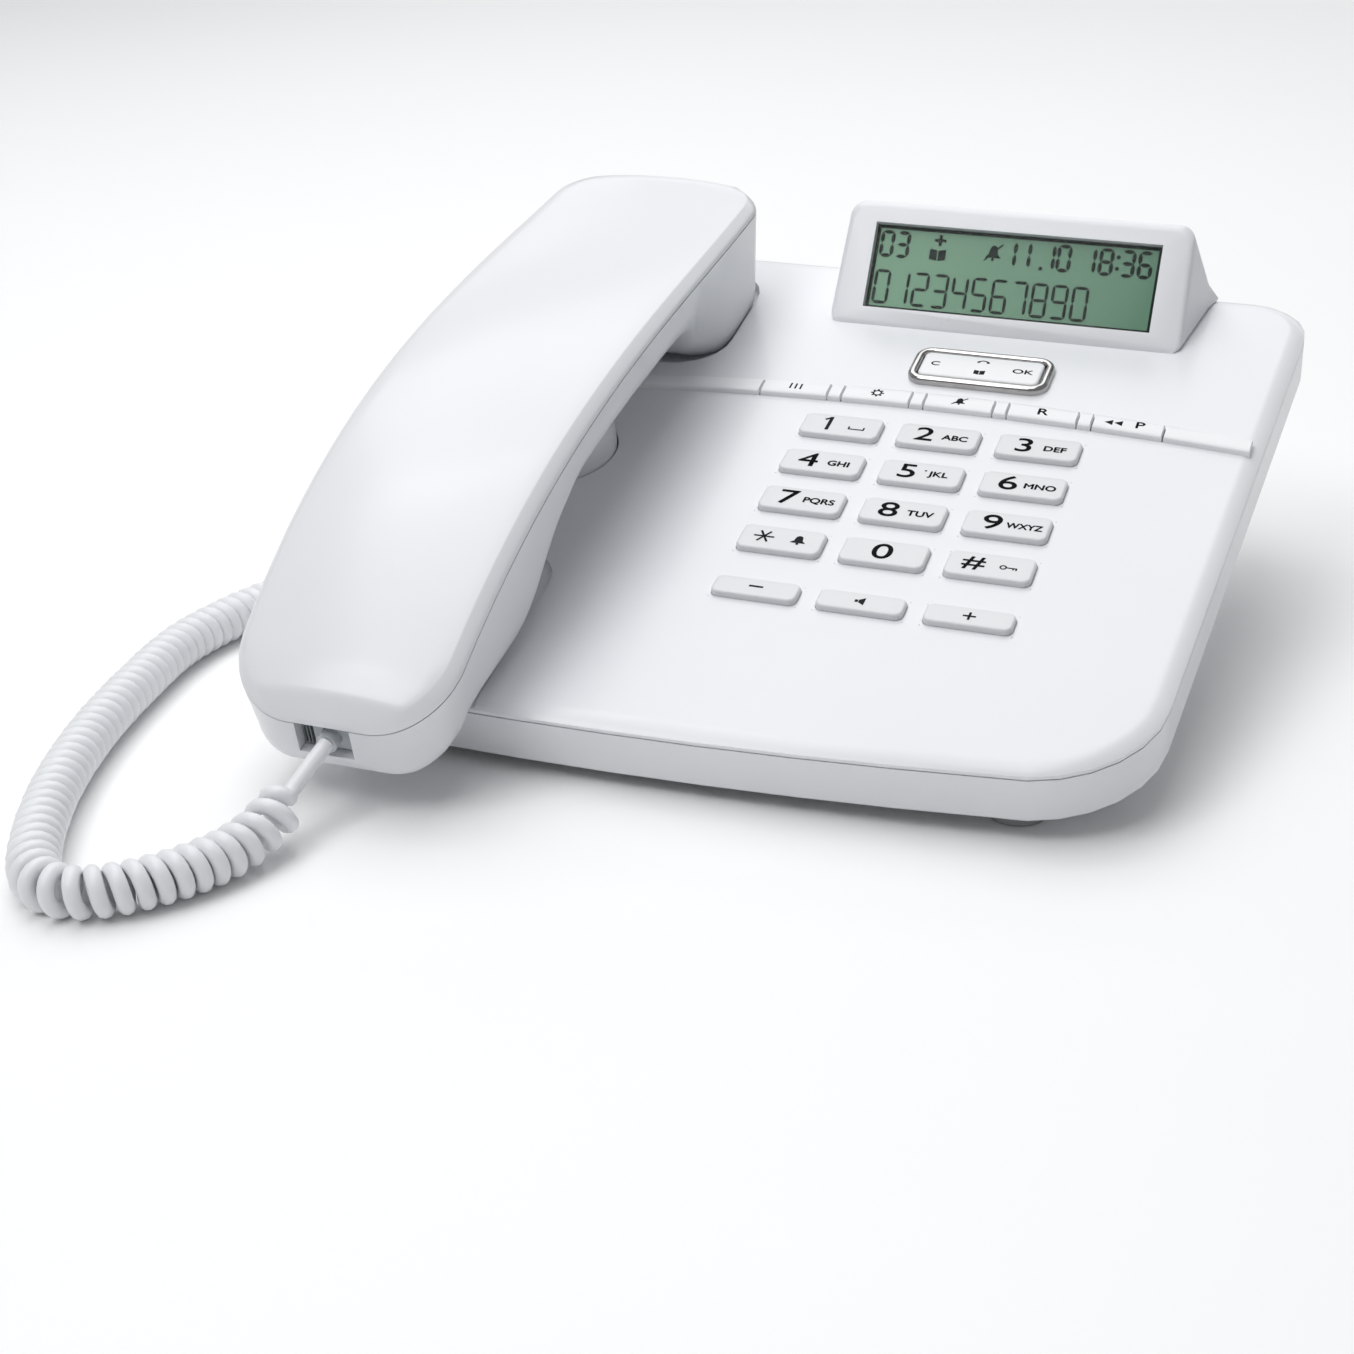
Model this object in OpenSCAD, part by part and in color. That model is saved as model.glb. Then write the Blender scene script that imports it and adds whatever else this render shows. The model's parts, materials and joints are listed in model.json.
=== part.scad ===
// Corded desk telephone with a caller display, drawn on its table at real size in millimetres.
// The front panel is a slab that leans back; most pieces are drawn flat on that slab and then tilted.
// Slab coordinates: x right, y up the panel, z out of it, with z = 0 on the panel's surface.

/* [Stance] */
// Lean of the panel above the table, in degrees
tilt = 15; // [10:1:20]
// Height of the rubber feet
foot_h = 2; // [1:0.5:4]
// Radius of each rubber foot
foot_r = 6; // [4:0.5:7]

/* [Base shell] */
// Width of the base at its back edge
base_w = 180; // [176:1:200]
// Distance from the first key row's front edge to the base's front edge
front_reach = 103.7; // [100:1:120]
// Distance from the first key row's front edge to the base's back edge
back_reach = 77; // [77:1:90]
// Height of the base's side band, from the parting line down
band_h = 11; // [10.5:0.5:16]
// Drop from the panel to the parting line
top_drop = 2.2; // [2:0.1:3]
// Wall of the plastic shells
wall = 2.2; // [1.8:0.1:2.4]
// Lean of the side edges, narrowing the base towards the front, in degrees
flare = 2.4; // [0:0.2:4]
// Radius of the bowed front edge
front_bow_r = 880; // [700:20:1200]
// Place of the front edge's foremost point across the base
front_bow_x = -39; // [-50:1:0]
// Radius of the front corners in plan
front_corner_r = 27; // [18:1:32]
// Radius of the back corners in plan
back_corner_r = 13; // [10:1:18]
// Width of the bevel round the panel
bevel_w = 3.8; // [2:0.2:6]

/* [Belly] */
// Width of the wedge-shaped belly under the panel
belly_w = 110; // [100:1:120]
// Distance from the belly's front wall to the object's middle
belly_front = 40; // [30:1:45]
// Distance from the belly's back wall to the object's middle
belly_back = 86; // [84:1:90]
// Radius of the belly's upright corners
belly_corner_r = 12; // [6:1:16]

/* [Keys] */
// Distance between key columns
key_pitch_x = 22; // [20:0.5:24]
// Distance between key rows
key_pitch_y = 14.7; // [13.5:0.1:16]
// Width of each key
key_w = 18; // [16:0.5:18.5]
// Depth of each digit key
key_d = 8.6; // [7:0.2:9]
// Height of a key above the panel
key_h = 1.4; // [1:0.1:2.4]
// Travel of a key
key_travel = 1.2; // [0.6:0.1:1.3]
// Gap round each key in its window
key_gap = 0.35; // [0.25:0.05:0.5]
// Place of the middle key column across the base
pad_x = 19.4; // [10:0.2:24]
// Distance from the digit rows' last front edge to the lower keys' front edge
low_row_gap = 16; // [15:0.5:20]
// Depth of each lower key
low_key_d = 6.2; // [5:0.2:8]

/* [Function strip] */
// Place of the strip's front edge at its middle
strip_y = 15.7; // [14:0.1:18]
// Place of the strip's middle across the base
strip_x = 12.5; // [0:0.5:20]
// Radius of the strip's bow
strip_bow_r = 594; // [500:10:900]
// Depth of the strip
strip_d = 5.5; // [5:0.1:7]
// Height of the strip
strip_h = 1.5; // [1:0.1:2.5]
// Half length of the strip
strip_half = 85; // [80:0.5:85]
// Width of each function key
fn_key_w = 15.3; // [12:0.1:16]
// Distance between function keys
fn_pitch = 18.9; // [18.5:0.1:20]
// Place of the middle function key across the base
fn_x = 20.6; // [14:0.2:24]
// Travel of a function key
fn_travel = 1; // [0.5:0.1:1.2]

/* [Navigation key] */
// Width over the bright rim
nav_w = 32.3; // [28:0.1:36]
// Depth over the bright rim
nav_d = 14.3; // [12:0.1:16]
// Width of the bright rim
nav_rim_w = 2; // [1.6:0.1:3]
// Height of the bright rim
nav_rim_h = 1.8; // [1:0.1:2.5]
// Place of the key across the base
nav_x = 21.9; // [15:0.1:28]
// Place of the key up the panel
nav_y = 33; // [31:0.1:35]

/* [Display] */
// Width of the display face at its foot
hood_w = 82.4; // [76:0.2:94]
// Splay of the housing's sides towards the back, in degrees
hood_splay = 9.5; // [2:0.5:14]
// Lean of the housing's sides towards the top, in degrees
hood_lean = 11.4; // [2:0.2:16]
// Radius of the display face's upper corners
hood_corner_r = 4; // [2:0.5:6]
// Place of the housing's middle across the base
hood_x = 22.3; // [10:0.1:30]
// Place of the housing's front foot up the panel
hood_y = 49.5; // [47:0.1:52]
// Height of the housing's ridge
hood_h = 20.6; // [18:0.1:23]
// Lean of the display face, in degrees
hood_face = 45; // [42:1:48]
// Wall of the display housing
hood_wall = 2; // [1.4:0.1:2.4]
// Width of the display window
window_w = 67.4; // [60:0.2:76]
// Height of the display window along its face
window_h = 20.4; // [16:0.2:21]
// Thickness of the window's lens
lens_t = 1.4; // [1:0.1:1.8]
// Thickness of the liquid crystal panel
panel_t = 2.4; // [1.6:0.1:2.6]

/* [Handset] */
// Distance from the first key row's front edge to the mouth end
hs_near = 127.2; // [120:1:135]
// Distance from the first key row's front edge to the ear end
hs_far = 67.1; // [62:0.5:70]
// Half width at the handset's widest place
hs_half_w = 26.2; // [24:0.1:28]
// Height of the parting line's highest place above the panel
arch_h = 30.4; // [28:0.1:34]
// Radius of the mouth end's corners in plan
hs_near_r = 14.5; // [10:0.5:18]
// Radius of the ear end's corners in plan
hs_far_r = 13; // [10:0.5:18]
// Rise of the handset's back at its middle, above the chamfer
crown_h = 1.2; // [0.6:0.1:2]
// Wall of the handset shells
hs_wall = 2; // [1.5:0.1:2.4]
// Height of the chamfer round the handset's back
hs_chamfer_h = 3.2; // [2:0.1:4]
// Width of the chamfer round the handset's back
hs_chamfer_w = 2.5; // [1.5:0.1:4]
// Lift of the handset above its cradle that the model allows
cradle_gap = 0.3; // [0.2:0.05:0.5]

/* [Hook switch] */
// Radius of the hook switch's dome
hook_r = 14; // [10:0.2:15]
// Travel of the hook switch
hook_travel = 3.5; // [2:0.1:3.8]

/* [Inside] */
// Thickness of the circuit boards
board_t = 1.6; // [1:0.1:2]
// Thickness of the rubber key mats
mat_t = 0.8; // [0.5:0.1:1]
// Gap between pieces that move past each other
run_gap = 0.3; // [0.2:0.05:0.4]
// Radius of the screws' shanks
screw_r = 1.15; // [0.9:0.05:1.4]
// Thickness of the steel ballast plate
ballast_t = 4; // [3:0.5:6]
// Radius of the loudspeaker in the belly
speaker_r = 25; // [18:1:26]

/* [Sockets] */
// Width of the line socket's opening
line_w = 9.9; // [9.7:0.1:10.2]
// Height of the line socket's opening
line_h = 6.8; // [6.6:0.1:7]
// Width of the cord plug
plug_w = 7.6; // [7.4:0.1:7.8]
// Height of the cord plug
plug_h = 5.6; // [5.4:0.1:5.8]
// Gap round the cord plug in its socket
plug_gap = 0.15; // [0.1:0.05:0.3]

/* [Wall fixing] */
// Distance between the two keyholes
keyhole_gap = 60; // [50:1:70]
// Radius of a keyhole's entry
keyhole_r = 4.2; // [3.5:0.1:5]
// Width of a keyhole's slot
slot_w = 4.4; // [3.5:0.1:5]
// Length of a keyhole's slot
slot_run = 10; // [6:0.5:12]

/* [Cord] */
// Diameter of the cord
cord_d = 3; // [2.6:0.1:3.4]
// Outer diameter of the cord's coil
coil_d = 9.6; // [8:0.1:12]

/* [Hidden] */
$fn = 48;
eps = 0.01;

shell_white = [0.93, 0.94, 0.95];
key_white = [0.96, 0.96, 0.97];
bright_metal = [0.8, 0.8, 0.82];
screen_green = [0.49, 0.66, 0.55];
board_green = [0.15, 0.4, 0.25];
rubber_grey = [0.35, 0.36, 0.38];
cord_white = [0.95, 0.95, 0.96];

// Levels below the panel
ceiling_z = -wall;
floor_z = -(top_drop + band_h);
floor_top_z = floor_z + wall;
board_top_z = floor_top_z + 1.2 + board_t;
mat_top_z = board_top_z + mat_t;
flange_top_z = ceiling_z - run_gap;
flange_t = 0.9;
part_gap = 0.3;
bottom_round = 1.2;

// The slab stands over the table: its lowest edge clears it by the height of the feet
slab_z = foot_h + front_reach * sin(tilt) - floor_z * cos(tilt);
end_edge = 0.6;
near_y = hs_near * cos(tilt) + (hs_par(-hs_near) + end_edge + crown_h) * sin(tilt);
far_y = back_reach * cos(tilt) - (floor_z + bottom_round) * sin(tilt);
slab_y = (near_y - far_y) / 2;

base_half = base_w / 2;
handset_x = -base_half + hs_half_w + run_gap;

key_names = ["1", "2", "3", "4", "5", "6", "7", "8", "9", "star", "0", "hash"];
low_key_y = -3 * key_pitch_y - low_row_gap;

// ---------- outlines and general modules ----------

// Points of an arc about c from angle a to angle b
function arc(c, r, a, b, n) = [for (i = [0 : n]) c + r * [cos(a + (b - a) * i / n), sin(a + (b - a) * i / n)]];

// Rounded rectangle about the origin, counter-clockwise
function round_rect(w, d, r, n = 4) = concat(
    arc([w / 2 - r, r - d / 2], r, -90, 0, n), arc([w / 2 - r, d / 2 - r], r, 0, 90, n),
    arc([r - w / 2, d / 2 - r], r, 90, 180, n), arc([r - w / 2, r - d / 2], r, 180, 270, n));

function at_z(ring, z) = [for (p = ring) [p[0], p[1], z]];
function shifted(ring, x, y) = [for (p = ring) [p[0] + x, p[1] + y]];

// Front edge of the base at x, moved in by inset
function front_edge(x, inset) = -front_reach + inset
    + (front_bow_r - sqrt(pow(front_bow_r, 2) - pow(x - front_bow_x, 2)));
// Half width of the base at y
function side_edge(y) = base_half - (back_reach - y) * tan(flare);

// Outline of the base, moved in by inset: bowed front, leaning sides, round corners
function base_outline(inset) =
    let (
        rf = max(front_corner_r - inset, 1), rb = max(back_corner_r - inset, 1),
        yb = back_reach - inset - rb, xb = side_edge(yb) - inset - rb,
        yf = -front_reach + front_corner_r, xf = side_edge(yf) - front_corner_r,
        lift = front_edge(xf, 0) + front_reach, lift_left = front_edge(-xf, 0) + front_reach
    )
    concat(
        [for (i = [0 : 6]) let (x = -xf + 2 * xf * i / 6) [x, front_edge(x, inset)]],
        arc([xf, yf + lift], rf, -78, -flare, 6),
        arc([xb, yb], rb, -flare, 90, 5),
        arc([-xb, yb], rb, 90, 180 + flare, 5),
        arc([-xf, yf + lift_left], rf, 180 + flare, 262, 6));

// Solid through a stack of rings with equal counts, listed from the bottom up and counter-clockwise.
// A folded ring runs out along one line of points and back along its partner line.
module loft(rings, folded = false) {
    n = len(rings[0]);
    top = (len(rings) - 1) * n;
    sides = [for (k = [0 : len(rings) - 2]) for (i = [0 : n - 1])
        let (a = k * n + i, b = k * n + (i + 1) % n)
        each [[a, a + n, b + n], [a, b + n, b]]];
    first_cap = folded ? [for (i = [0 : n / 2 - 2]) [i, i + 1, n - 2 - i, n - 1 - i]]
        : [[for (i = [0 : n - 1]) i]];
    last_cap = [for (f = first_cap) [for (k = [len(f) - 1 : -1 : 0]) f[k] + top]];
    polyhedron(points = [for (r = rings) each r], faces = concat(first_cap, sides, last_cap));
}

// Round tube along points, with sides facing the ref direction
module tube(points, r, sides, ref) {
    last = len(points) - 1;
    rings = [for (k = [0 : last])
        let (
            t = points[min(k + 1, last)] - points[max(k - 1, 0)],
            u = cross(t, ref) / norm(cross(t, ref)),
            v = cross(u, t) / norm(t)
        )
        [for (i = [0 : sides - 1]) points[k] + r * (u * cos(360 * i / sides) + v * sin(360 * i / sides))]];
    loft(rings);
}

// Puts slab-drawn pieces on the leaning panel
module on_slab() {
    translate([0, slab_y, slab_z]) rotate([tilt, 0, 0]) children();
}

module extrude_z(z0, z1) {
    translate([0, 0, z0]) linear_extrude(z1 - z0) children();
}

// Box from its low corner to its high corner
module box(low, high) {
    translate(low) cube(high - low);
}

// Everything below (or above) the slab's plane at height z, in table coordinates
module below_slab(z) {
    on_slab() box([-200, -300, z - 200], [200, 300, z]);
}

// ---------- where the keys are ----------

function key_x(i) = pad_x + (i % 3 - 1) * key_pitch_x;
function key_y(i) = -floor(i / 3) * key_pitch_y;
function fn_key_x(i) = fn_x + (i - 2) * fn_pitch;

module at_keys() {
    for (i = [0 : 11]) translate([key_x(i), key_y(i), 0]) children();
}

module at_low_keys() {
    for (i = [0 : 2]) translate([key_x(i), low_key_y, 0]) children();
}

// ---------- cradle ----------

ear_well_y0 = 25.5;
ear_well_y1 = hs_far;
mouth_well_y1 = -54;
well_margin = 1.4;
ear_well_z = -2.8;
mouth_well_z = -1.2;
cup_half = 23;
mouth_half = 17;
hook_y = -15.4;

// Plan of the ear cup where it meets the panel
function ear_plan(margin) = shifted(
    round_rect(2 * (cup_half + margin), ear_well_y1 - ear_well_y0 + 2 * margin, 11 + margin, 6),
    handset_x, (ear_well_y0 + ear_well_y1) / 2);

function mouth_plan(margin) = shifted(
    round_rect(2 * (mouth_half + margin), mouth_well_y1 + front_reach + 60 + 2 * margin, 12, 6),
    handset_x, (mouth_well_y1 - front_reach - 60) / 2);

// ---------- screws ----------

// Screws that join the shells: place up the panel, and distance in from the side edge
right_screws = [[23.7 - front_reach, 10], [63, 9]];
left_screws = [[-3, 6.6], [-42, 6]];
screw_places = concat([for (s = right_screws) [side_edge(s[0]) - s[1], s[0]]],
    [for (s = left_screws) [s[1] - side_edge(s[0]), s[0]]]);

// The main board reaches past the number pad on every side
board_left = pad_x - key_pitch_x - key_w / 2 - 13.4;
board_right = pad_x + key_pitch_x + key_w / 2 + 21.6;
board_front = low_key_y - 11.9;
board_back = nav_y + 23;
board_screw_places = [[board_left + 7, board_front + 12], [board_right - 6, board_front + 12],
    [board_left + 7, board_back - 8], [board_right - 6, board_back - 10]];
boss_r = 3.4;
head_r = 2.9;
head_t = 1.4;

// ---------- base shells ----------

module base_top_shell() {
    color(shell_white) on_slab() difference() {
        union() {
            loft([
                at_z(base_outline(0), -top_drop),
                at_z(base_outline(0), -top_drop * 0.68),
                at_z(base_outline(bevel_w * 0.35), -top_drop * 0.25),
                at_z(base_outline(bevel_w), 0)]);
            extrude_z(-top_drop - 1.6, -top_drop + eps) difference() {
                polygon(base_outline(wall + 0.2));
                polygon(base_outline(wall + 1.4));
                translate([-95, -100]) square([60, 60]);
                translate([-95, cord_jack_y - 7]) square([12, 14]);
            }
            extrude_z(ear_well_z - wall, -wall + eps) intersection() {
                polygon(ear_plan(well_margin + wall));
                polygon(base_outline(wall + part_gap));
            }
            extrude_z(mouth_well_z - wall, -wall + eps) intersection() {
                polygon(mouth_plan(well_margin + wall));
                polygon(base_outline(wall + part_gap));
            }
            for (p = screw_places) translate(p)
                translate([0, 0, floor_top_z + run_gap]) cylinder(r = boss_r, h = -wall - floor_top_z - run_gap + eps);
            for (p = board_screw_places) translate(p)
                translate([0, 0, board_top_z]) cylinder(r = boss_r, h = -wall - board_top_z + eps);
            // Collar that guides the hook switch
            translate([handset_x, hook_y, -4]) cylinder(r = hook_r + key_gap + 1.2, h = 4 - wall + eps);
        }
        extrude_z(ear_well_z, 1) polygon(ear_plan(well_margin));
        extrude_z(mouth_well_z, 1) polygon(mouth_plan(well_margin));
        translate([handset_x, hook_y, -5]) cylinder(r = hook_r + key_gap, h = 10);
        for (p = screw_places) translate(p)
            translate([0, 0, floor_top_z]) cylinder(r = screw_r + 0.05, h = -floor_top_z - wall);
        for (p = board_screw_places) translate(p)
            translate([0, 0, board_top_z - 1]) cylinder(r = screw_r + 0.05, h = -board_top_z - wall + 1);
        at_keys() key_window(key_d);
        at_low_keys() key_window(low_key_d);
        for (i = [0 : 4]) fn_window(i);
        translate([nav_x, nav_y, -5]) linear_extrude(10) polygon(round_rect(nav_w - 2 * nav_rim_w, nav_d - 2 * nav_rim_w, 1.6));
        // Opening under the housing for the display's lower edge and its ribbon
        box([hood_x - panel_w / 2 - 1, hood_y + 4, -5], [hood_x + panel_w / 2 + 1, hood_y + 16, 1]);
    }
}

module key_window(depth) {
    box([-key_w / 2 - key_gap, -key_gap, -5], [key_w / 2 + key_gap, depth + key_gap, 5]);
}

module fn_window(i) {
    x = fn_key_x(i);
    y = strip_front(x);
    box([x - fn_key_w / 2 - key_gap, y - 0.8, -5], [x + fn_key_w / 2 + key_gap, y + strip_d + 0.8, 5]);
}

module base_bottom_shell() {
    color(shell_white) difference() {
        union() {
            on_slab() loft([
                at_z(base_outline(bottom_round), floor_z),
                at_z(base_outline(0), floor_z + bottom_round),
                at_z(base_outline(0), -top_drop - part_gap)]);
            intersection() {
                translate([0, 0, foot_h]) linear_extrude(80) belly_plan(0);
                below_slab(floor_z + eps);
            }
        }
        on_slab() difference() {
            extrude_z(floor_top_z, 5) polygon(base_outline(wall));
            cord_jack_block();
        }
        intersection() {
            translate([0, 0, foot_h + wall]) linear_extrude(80) belly_plan(wall);
            below_slab(floor_top_z + eps);
        }
        on_slab() for (p = screw_places) translate(p) {
            translate([0, 0, floor_z - 1]) cylinder(r = screw_r + 0.5, h = wall + 2);
            translate([0, 0, floor_z - 1]) cylinder(r = head_r + 0.3, h = 1 + wall - 0.8);
        }
        on_slab() cord_jack_mouth();
        line_jack_hole();
        keyholes();
        speaker_slots();
        on_slab() translate([mic_x, mic_y, floor_z - 1]) cylinder(r = 0.8, h = wall + 2);
    }
}

module belly_plan(inset) {
    polygon(shifted(
        round_rect(belly_w - 2 * inset, belly_front + belly_back - 2 * inset, belly_corner_r - inset, 6),
        0, (belly_back - belly_front) / 2));
}

keyhole_y = 60;

module keyholes() {
    for (s = [-1, 1]) translate([s * keyhole_gap / 2, keyhole_y, foot_h - 1]) {
        cylinder(r = keyhole_r, h = wall + 2);
        box([-slot_w / 2, 0, 0], [slot_w / 2, slot_run, wall + 2]);
        translate([0, slot_run, 0]) cylinder(r = slot_w / 2, h = wall + 2);
    }
}

speaker_y = 22;

module speaker_slots() {
    for (i = [-3 : 3]) {
        half = sqrt(pow(speaker_r - 6, 2) - pow(i * 5, 2));
        box([-half, speaker_y + i * 5 - 0.9, foot_h - 1], [half, speaker_y + i * 5 + 0.9, foot_h + wall + 1]);
    }
}

module rubber_feet() {
    color(rubber_grey) {
        for (s = [-1, 1]) {
            intersection() {
                translate([s * (base_half - 32), 47.7 - front_reach, 0]) cylinder(r = foot_r, h = 12);
                below_slab(floor_z);
            }
            translate([s * (belly_w / 2 - foot_r - 5), belly_back - foot_r - 4, 0]) cylinder(r = foot_r, h = foot_h);
        }
    }
}

// ---------- keys ----------

// Key cap with a softened top that falls slightly towards the back, on a flanged stem
module key_body(depth, travel) {
    soft = 0.35;
    back_h = key_h * 0.75;
    function rim(inset) = shifted(round_rect(key_w - 2 * inset, depth - 2 * inset, 1.1 - inset, 3), 0, depth / 2);
    function leaning(ring, top) = [for (p = ring) [p[0], p[1], top + (back_h - key_h) * p[1] / depth]];
    loft([
        at_z(rim(0), flange_top_z - eps),
        leaning(rim(0), key_h - soft),
        leaning(rim(soft * 0.3), key_h - soft * 0.3),
        leaning(rim(soft), key_h)]);
    box([-key_w / 2 - 0.9, -0.9, flange_top_z - flange_t], [key_w / 2 + 0.9, depth + 0.9, flange_top_z]);
    translate([0, depth / 2, stem_z]) cylinder(r = 2, h = flange_top_z - flange_t - stem_z + eps);
}

stem_z = flange_top_z - flange_t - 1.2;
dome_top_z = stem_z - key_travel - run_gap;

module digit_key(i) {
    color(key_white) on_slab() translate([key_x(i), key_y(i), 0]) key_body(key_d, key_travel);
}

module low_key(i) {
    color(key_white) on_slab() translate([key_x(i), low_key_y, 0]) key_body(low_key_d, key_travel);
}

module key_mat() {
    pad_w = 2 * key_pitch_x + key_w;
    color(rubber_grey) on_slab() {
        box([pad_x - pad_w / 2, low_key_y - 1, board_top_z], [pad_x + pad_w / 2, key_d, mat_top_z]);
        at_keys() translate([0, key_d / 2, mat_top_z - eps])
            cylinder(r = 2.6, h = dome_top_z - mat_top_z + eps);
        at_low_keys() translate([0, low_key_d / 2, mat_top_z - eps])
            cylinder(r = 2.6, h = dome_top_z - mat_top_z + eps);
    }
}

// ---------- function strip ----------

// Front edge of the strip at x
function strip_front(x) = strip_y - strip_bow_r + sqrt(pow(strip_bow_r, 2) - pow(x - strip_x, 2));
// Depth of the strip at x, narrower at both ends
function strip_depth(x) = strip_d - 1.6 * pow(abs(x - fn_x) / strip_half, 2);

// Plan of the strip between two places across the base, its long edges moved in by inset
function strip_plan(x0, x1, inset, n) =
    let (end = min(inset, 0.4), places = [for (i = [0 : n]) x0 + end + (x1 - x0 - 2 * end) * i / n])
    concat([for (x = places) [x, strip_front(x) + inset]],
        [for (i = [n : -1 : 0]) [places[i], strip_front(places[i]) + strip_depth(places[i]) - inset]]);

module strip_piece(x0, x1, bottom) {
    n = max(1, round((x1 - x0) / 8));
    loft([
        at_z(strip_plan(x0, x1, 0, n), bottom),
        at_z(strip_plan(x0, x1, 0, n), strip_h * 0.65),
        at_z(strip_plan(x0, x1, 0.5, n), strip_h * 0.92),
        at_z(strip_plan(x0, x1, 1.3, n), strip_h)], folded = true);
}

module function_strip() {
    edge = fn_key_w / 2 + key_gap;
    color(key_white) on_slab() {
        strip_piece(-strip_half, fn_key_x(0) - edge, 0);
        for (i = [0 : 3]) strip_piece(fn_key_x(i) + edge, fn_key_x(i + 1) - edge, 0);
        strip_piece(fn_key_x(4) + edge, strip_half, 0);
    }
}

module function_key(i) {
    x = fn_key_x(i);
    y = strip_front(x);
    d = strip_depth(x);
    color(key_white) on_slab() {
        strip_piece(x - fn_key_w / 2, x + fn_key_w / 2, flange_top_z - eps);
        box([x - fn_key_w / 2 - 0.9, y - 1.4, flange_top_z - flange_t], [x + fn_key_w / 2 + 0.9, y + d + 1.4, flange_top_z]);
        translate([x, y + d / 2, stem_z]) cylinder(r = 1.8, h = flange_top_z - flange_t - stem_z + eps);
    }
}

module function_mat() {
    color(rubber_grey) on_slab() {
        box([fn_key_x(0) - 8, strip_y - 3, board_top_z], [fn_key_x(4) + 8, nav_y + 7, mat_top_z]);
        for (i = [0 : 4]) {
            x = fn_key_x(i);
            translate([x, strip_front(x) + strip_depth(x) / 2, mat_top_z - eps])
                cylinder(r = 2.2, h = dome_top_z - mat_top_z + eps);
        }
        translate([nav_x, nav_y, mat_top_z - eps]) cylinder(r = 2.4, h = nav_foot_z - run_gap - mat_top_z + eps);
    }
}

// ---------- navigation key ----------

nav_key_w = nav_w - 2 * nav_rim_w - 2 * key_gap;
nav_key_d = nav_d - 2 * nav_rim_w - 2 * key_gap;
nav_foot_z = -5.2;

module nav_rim() {
    function ring(grow, z) = at_z(round_rect(nav_w - 2 * grow, nav_d - 2 * grow, 3.2 - grow * 0.6), z);
    color(bright_metal) on_slab() translate([nav_x, nav_y, 0]) difference() {
        loft([ring(0, 0), ring(0, nav_rim_h * 0.5), ring(0.35, nav_rim_h * 0.85), ring(0.9, nav_rim_h)]);
        translate([0, 0, -1]) linear_extrude(5) polygon(round_rect(nav_w - 2 * nav_rim_w, nav_d - 2 * nav_rim_w, 1.6));
    }
}

// Rocks up and down on the rib of its carrier
module nav_key() {
    function ring(grow, z) = at_z(round_rect(nav_key_w - 2 * grow, nav_key_d - 2 * grow, 1.5 - grow), z);
    color(key_white) on_slab() translate([nav_x, nav_y, 0])
        loft([ring(0, -0.6), ring(0, nav_rim_h - 0.5), ring(0.4, nav_rim_h - 0.2)]);
}

// Rocks left and right under the navigation key, held by two ears below the panel
module nav_carrier() {
    color(shell_white) on_slab() translate([nav_x, nav_y, 0]) {
        box([-8, -0.8, -1.9], [8, 0.8, -0.6 - run_gap]);
        box([-9, -2.6, nav_foot_z + 1], [9, 2.6, -1.8]);
        box([-1.6, -nav_d / 2, flange_top_z - 1.2], [1.6, nav_d / 2, flange_top_z]);
        translate([0, 0, nav_foot_z]) cylinder(r = 2, h = 1.1);
    }
}

// ---------- display ----------

face_run = hood_h / tan(hood_face);
face_len = hood_h / sin(hood_face);
hood_back_y = hood_y + face_run + 6.4;
window_mid = face_len / 2 + 0.1;

// Puts a flat drawing on the display face: x across, y up the face, z out of it
module on_face() {
    translate([hood_x, hood_y, 0]) rotate([hood_face, 0, 0]) children();
}

// Side view of the housing between its splayed and leaning sides, all moved in by inset
module hood_side(inset) {
    ridge_y = hood_y + face_run + 1.2;
    slope = inset / sin(hood_face);
    difference() {
        rotate([90, 0, 90]) linear_extrude(hood_w + 30, center = true) polygon([
            [hood_y + slope + inset * 0.4, -eps - (inset > 0 ? 1 : 0)],
            [hood_y + face_run - 0.8 + inset * 0.4, hood_h - 0.8 - inset],
            [hood_y + face_run + 0.3, hood_h - inset],
            [ridge_y + 0.6 - inset * 0.4, hood_h - inset],
            [ridge_y + 1.8 - inset, hood_h - 1 - inset],
            [hood_back_y - inset, -eps - (inset > 0 ? 1 : 0)]]);
        for (s = [0, 1]) mirror([s, 0, 0]) translate([hood_w / 2, hood_y, 0])
            rotate([0, -hood_lean, -hood_splay]) translate([-inset, -60, -60]) cube([60, 160, 120]);
    }
}

// What rounds off an upper corner of the face, along the direction in which the side runs back
module hood_corner() {
    lean_run = tan(hood_lean) / cos(hood_splay);
    back_turn = atan(tan(hood_splay) * sin(hood_face) + lean_run * cos(hood_face));
    top_x = hood_w / 2 + face_len * (tan(hood_splay) * cos(hood_face) - lean_run * sin(hood_face));
    translate([top_x - hood_corner_r, face_len - hood_corner_r, 0]) rotate([0, -back_turn, 0])
        linear_extrude(60, center = true) difference() {
            square(hood_corner_r + 4);
            circle(hood_corner_r);
        }
}

module display_hood() {
    color(shell_white) on_slab() difference() {
        intersection() {
            translate([hood_x, 0, 0]) hood_side(0);
            box([-200, 0, 0], [200, 200, 60]);
        }
        on_face() for (s = [0, 1]) mirror([s, 0, 0]) hood_corner();
        translate([hood_x, 0, 0]) hood_side(hood_wall);
        on_face() translate([0, window_mid, -6]) linear_extrude(12)
            square([window_w + 0.2, window_h + 0.2], center = true);
        // Flat inner seat for the panel
        on_face() box([-panel_w / 2, window_mid - panel_h / 2, -hood_wall - panel_t - board_t - 0.6],
            [panel_w / 2, window_mid + panel_h / 2, -hood_wall]);
    }
}

panel_w = window_w + 5;
panel_h = window_h + 2.4;

module display_lens() {
    color([0.8, 0.9, 0.85, 0.4]) on_slab() on_face() translate([0, window_mid, -lens_t - 0.3])
        linear_extrude(lens_t) square([window_w, window_h], center = true);
}

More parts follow.
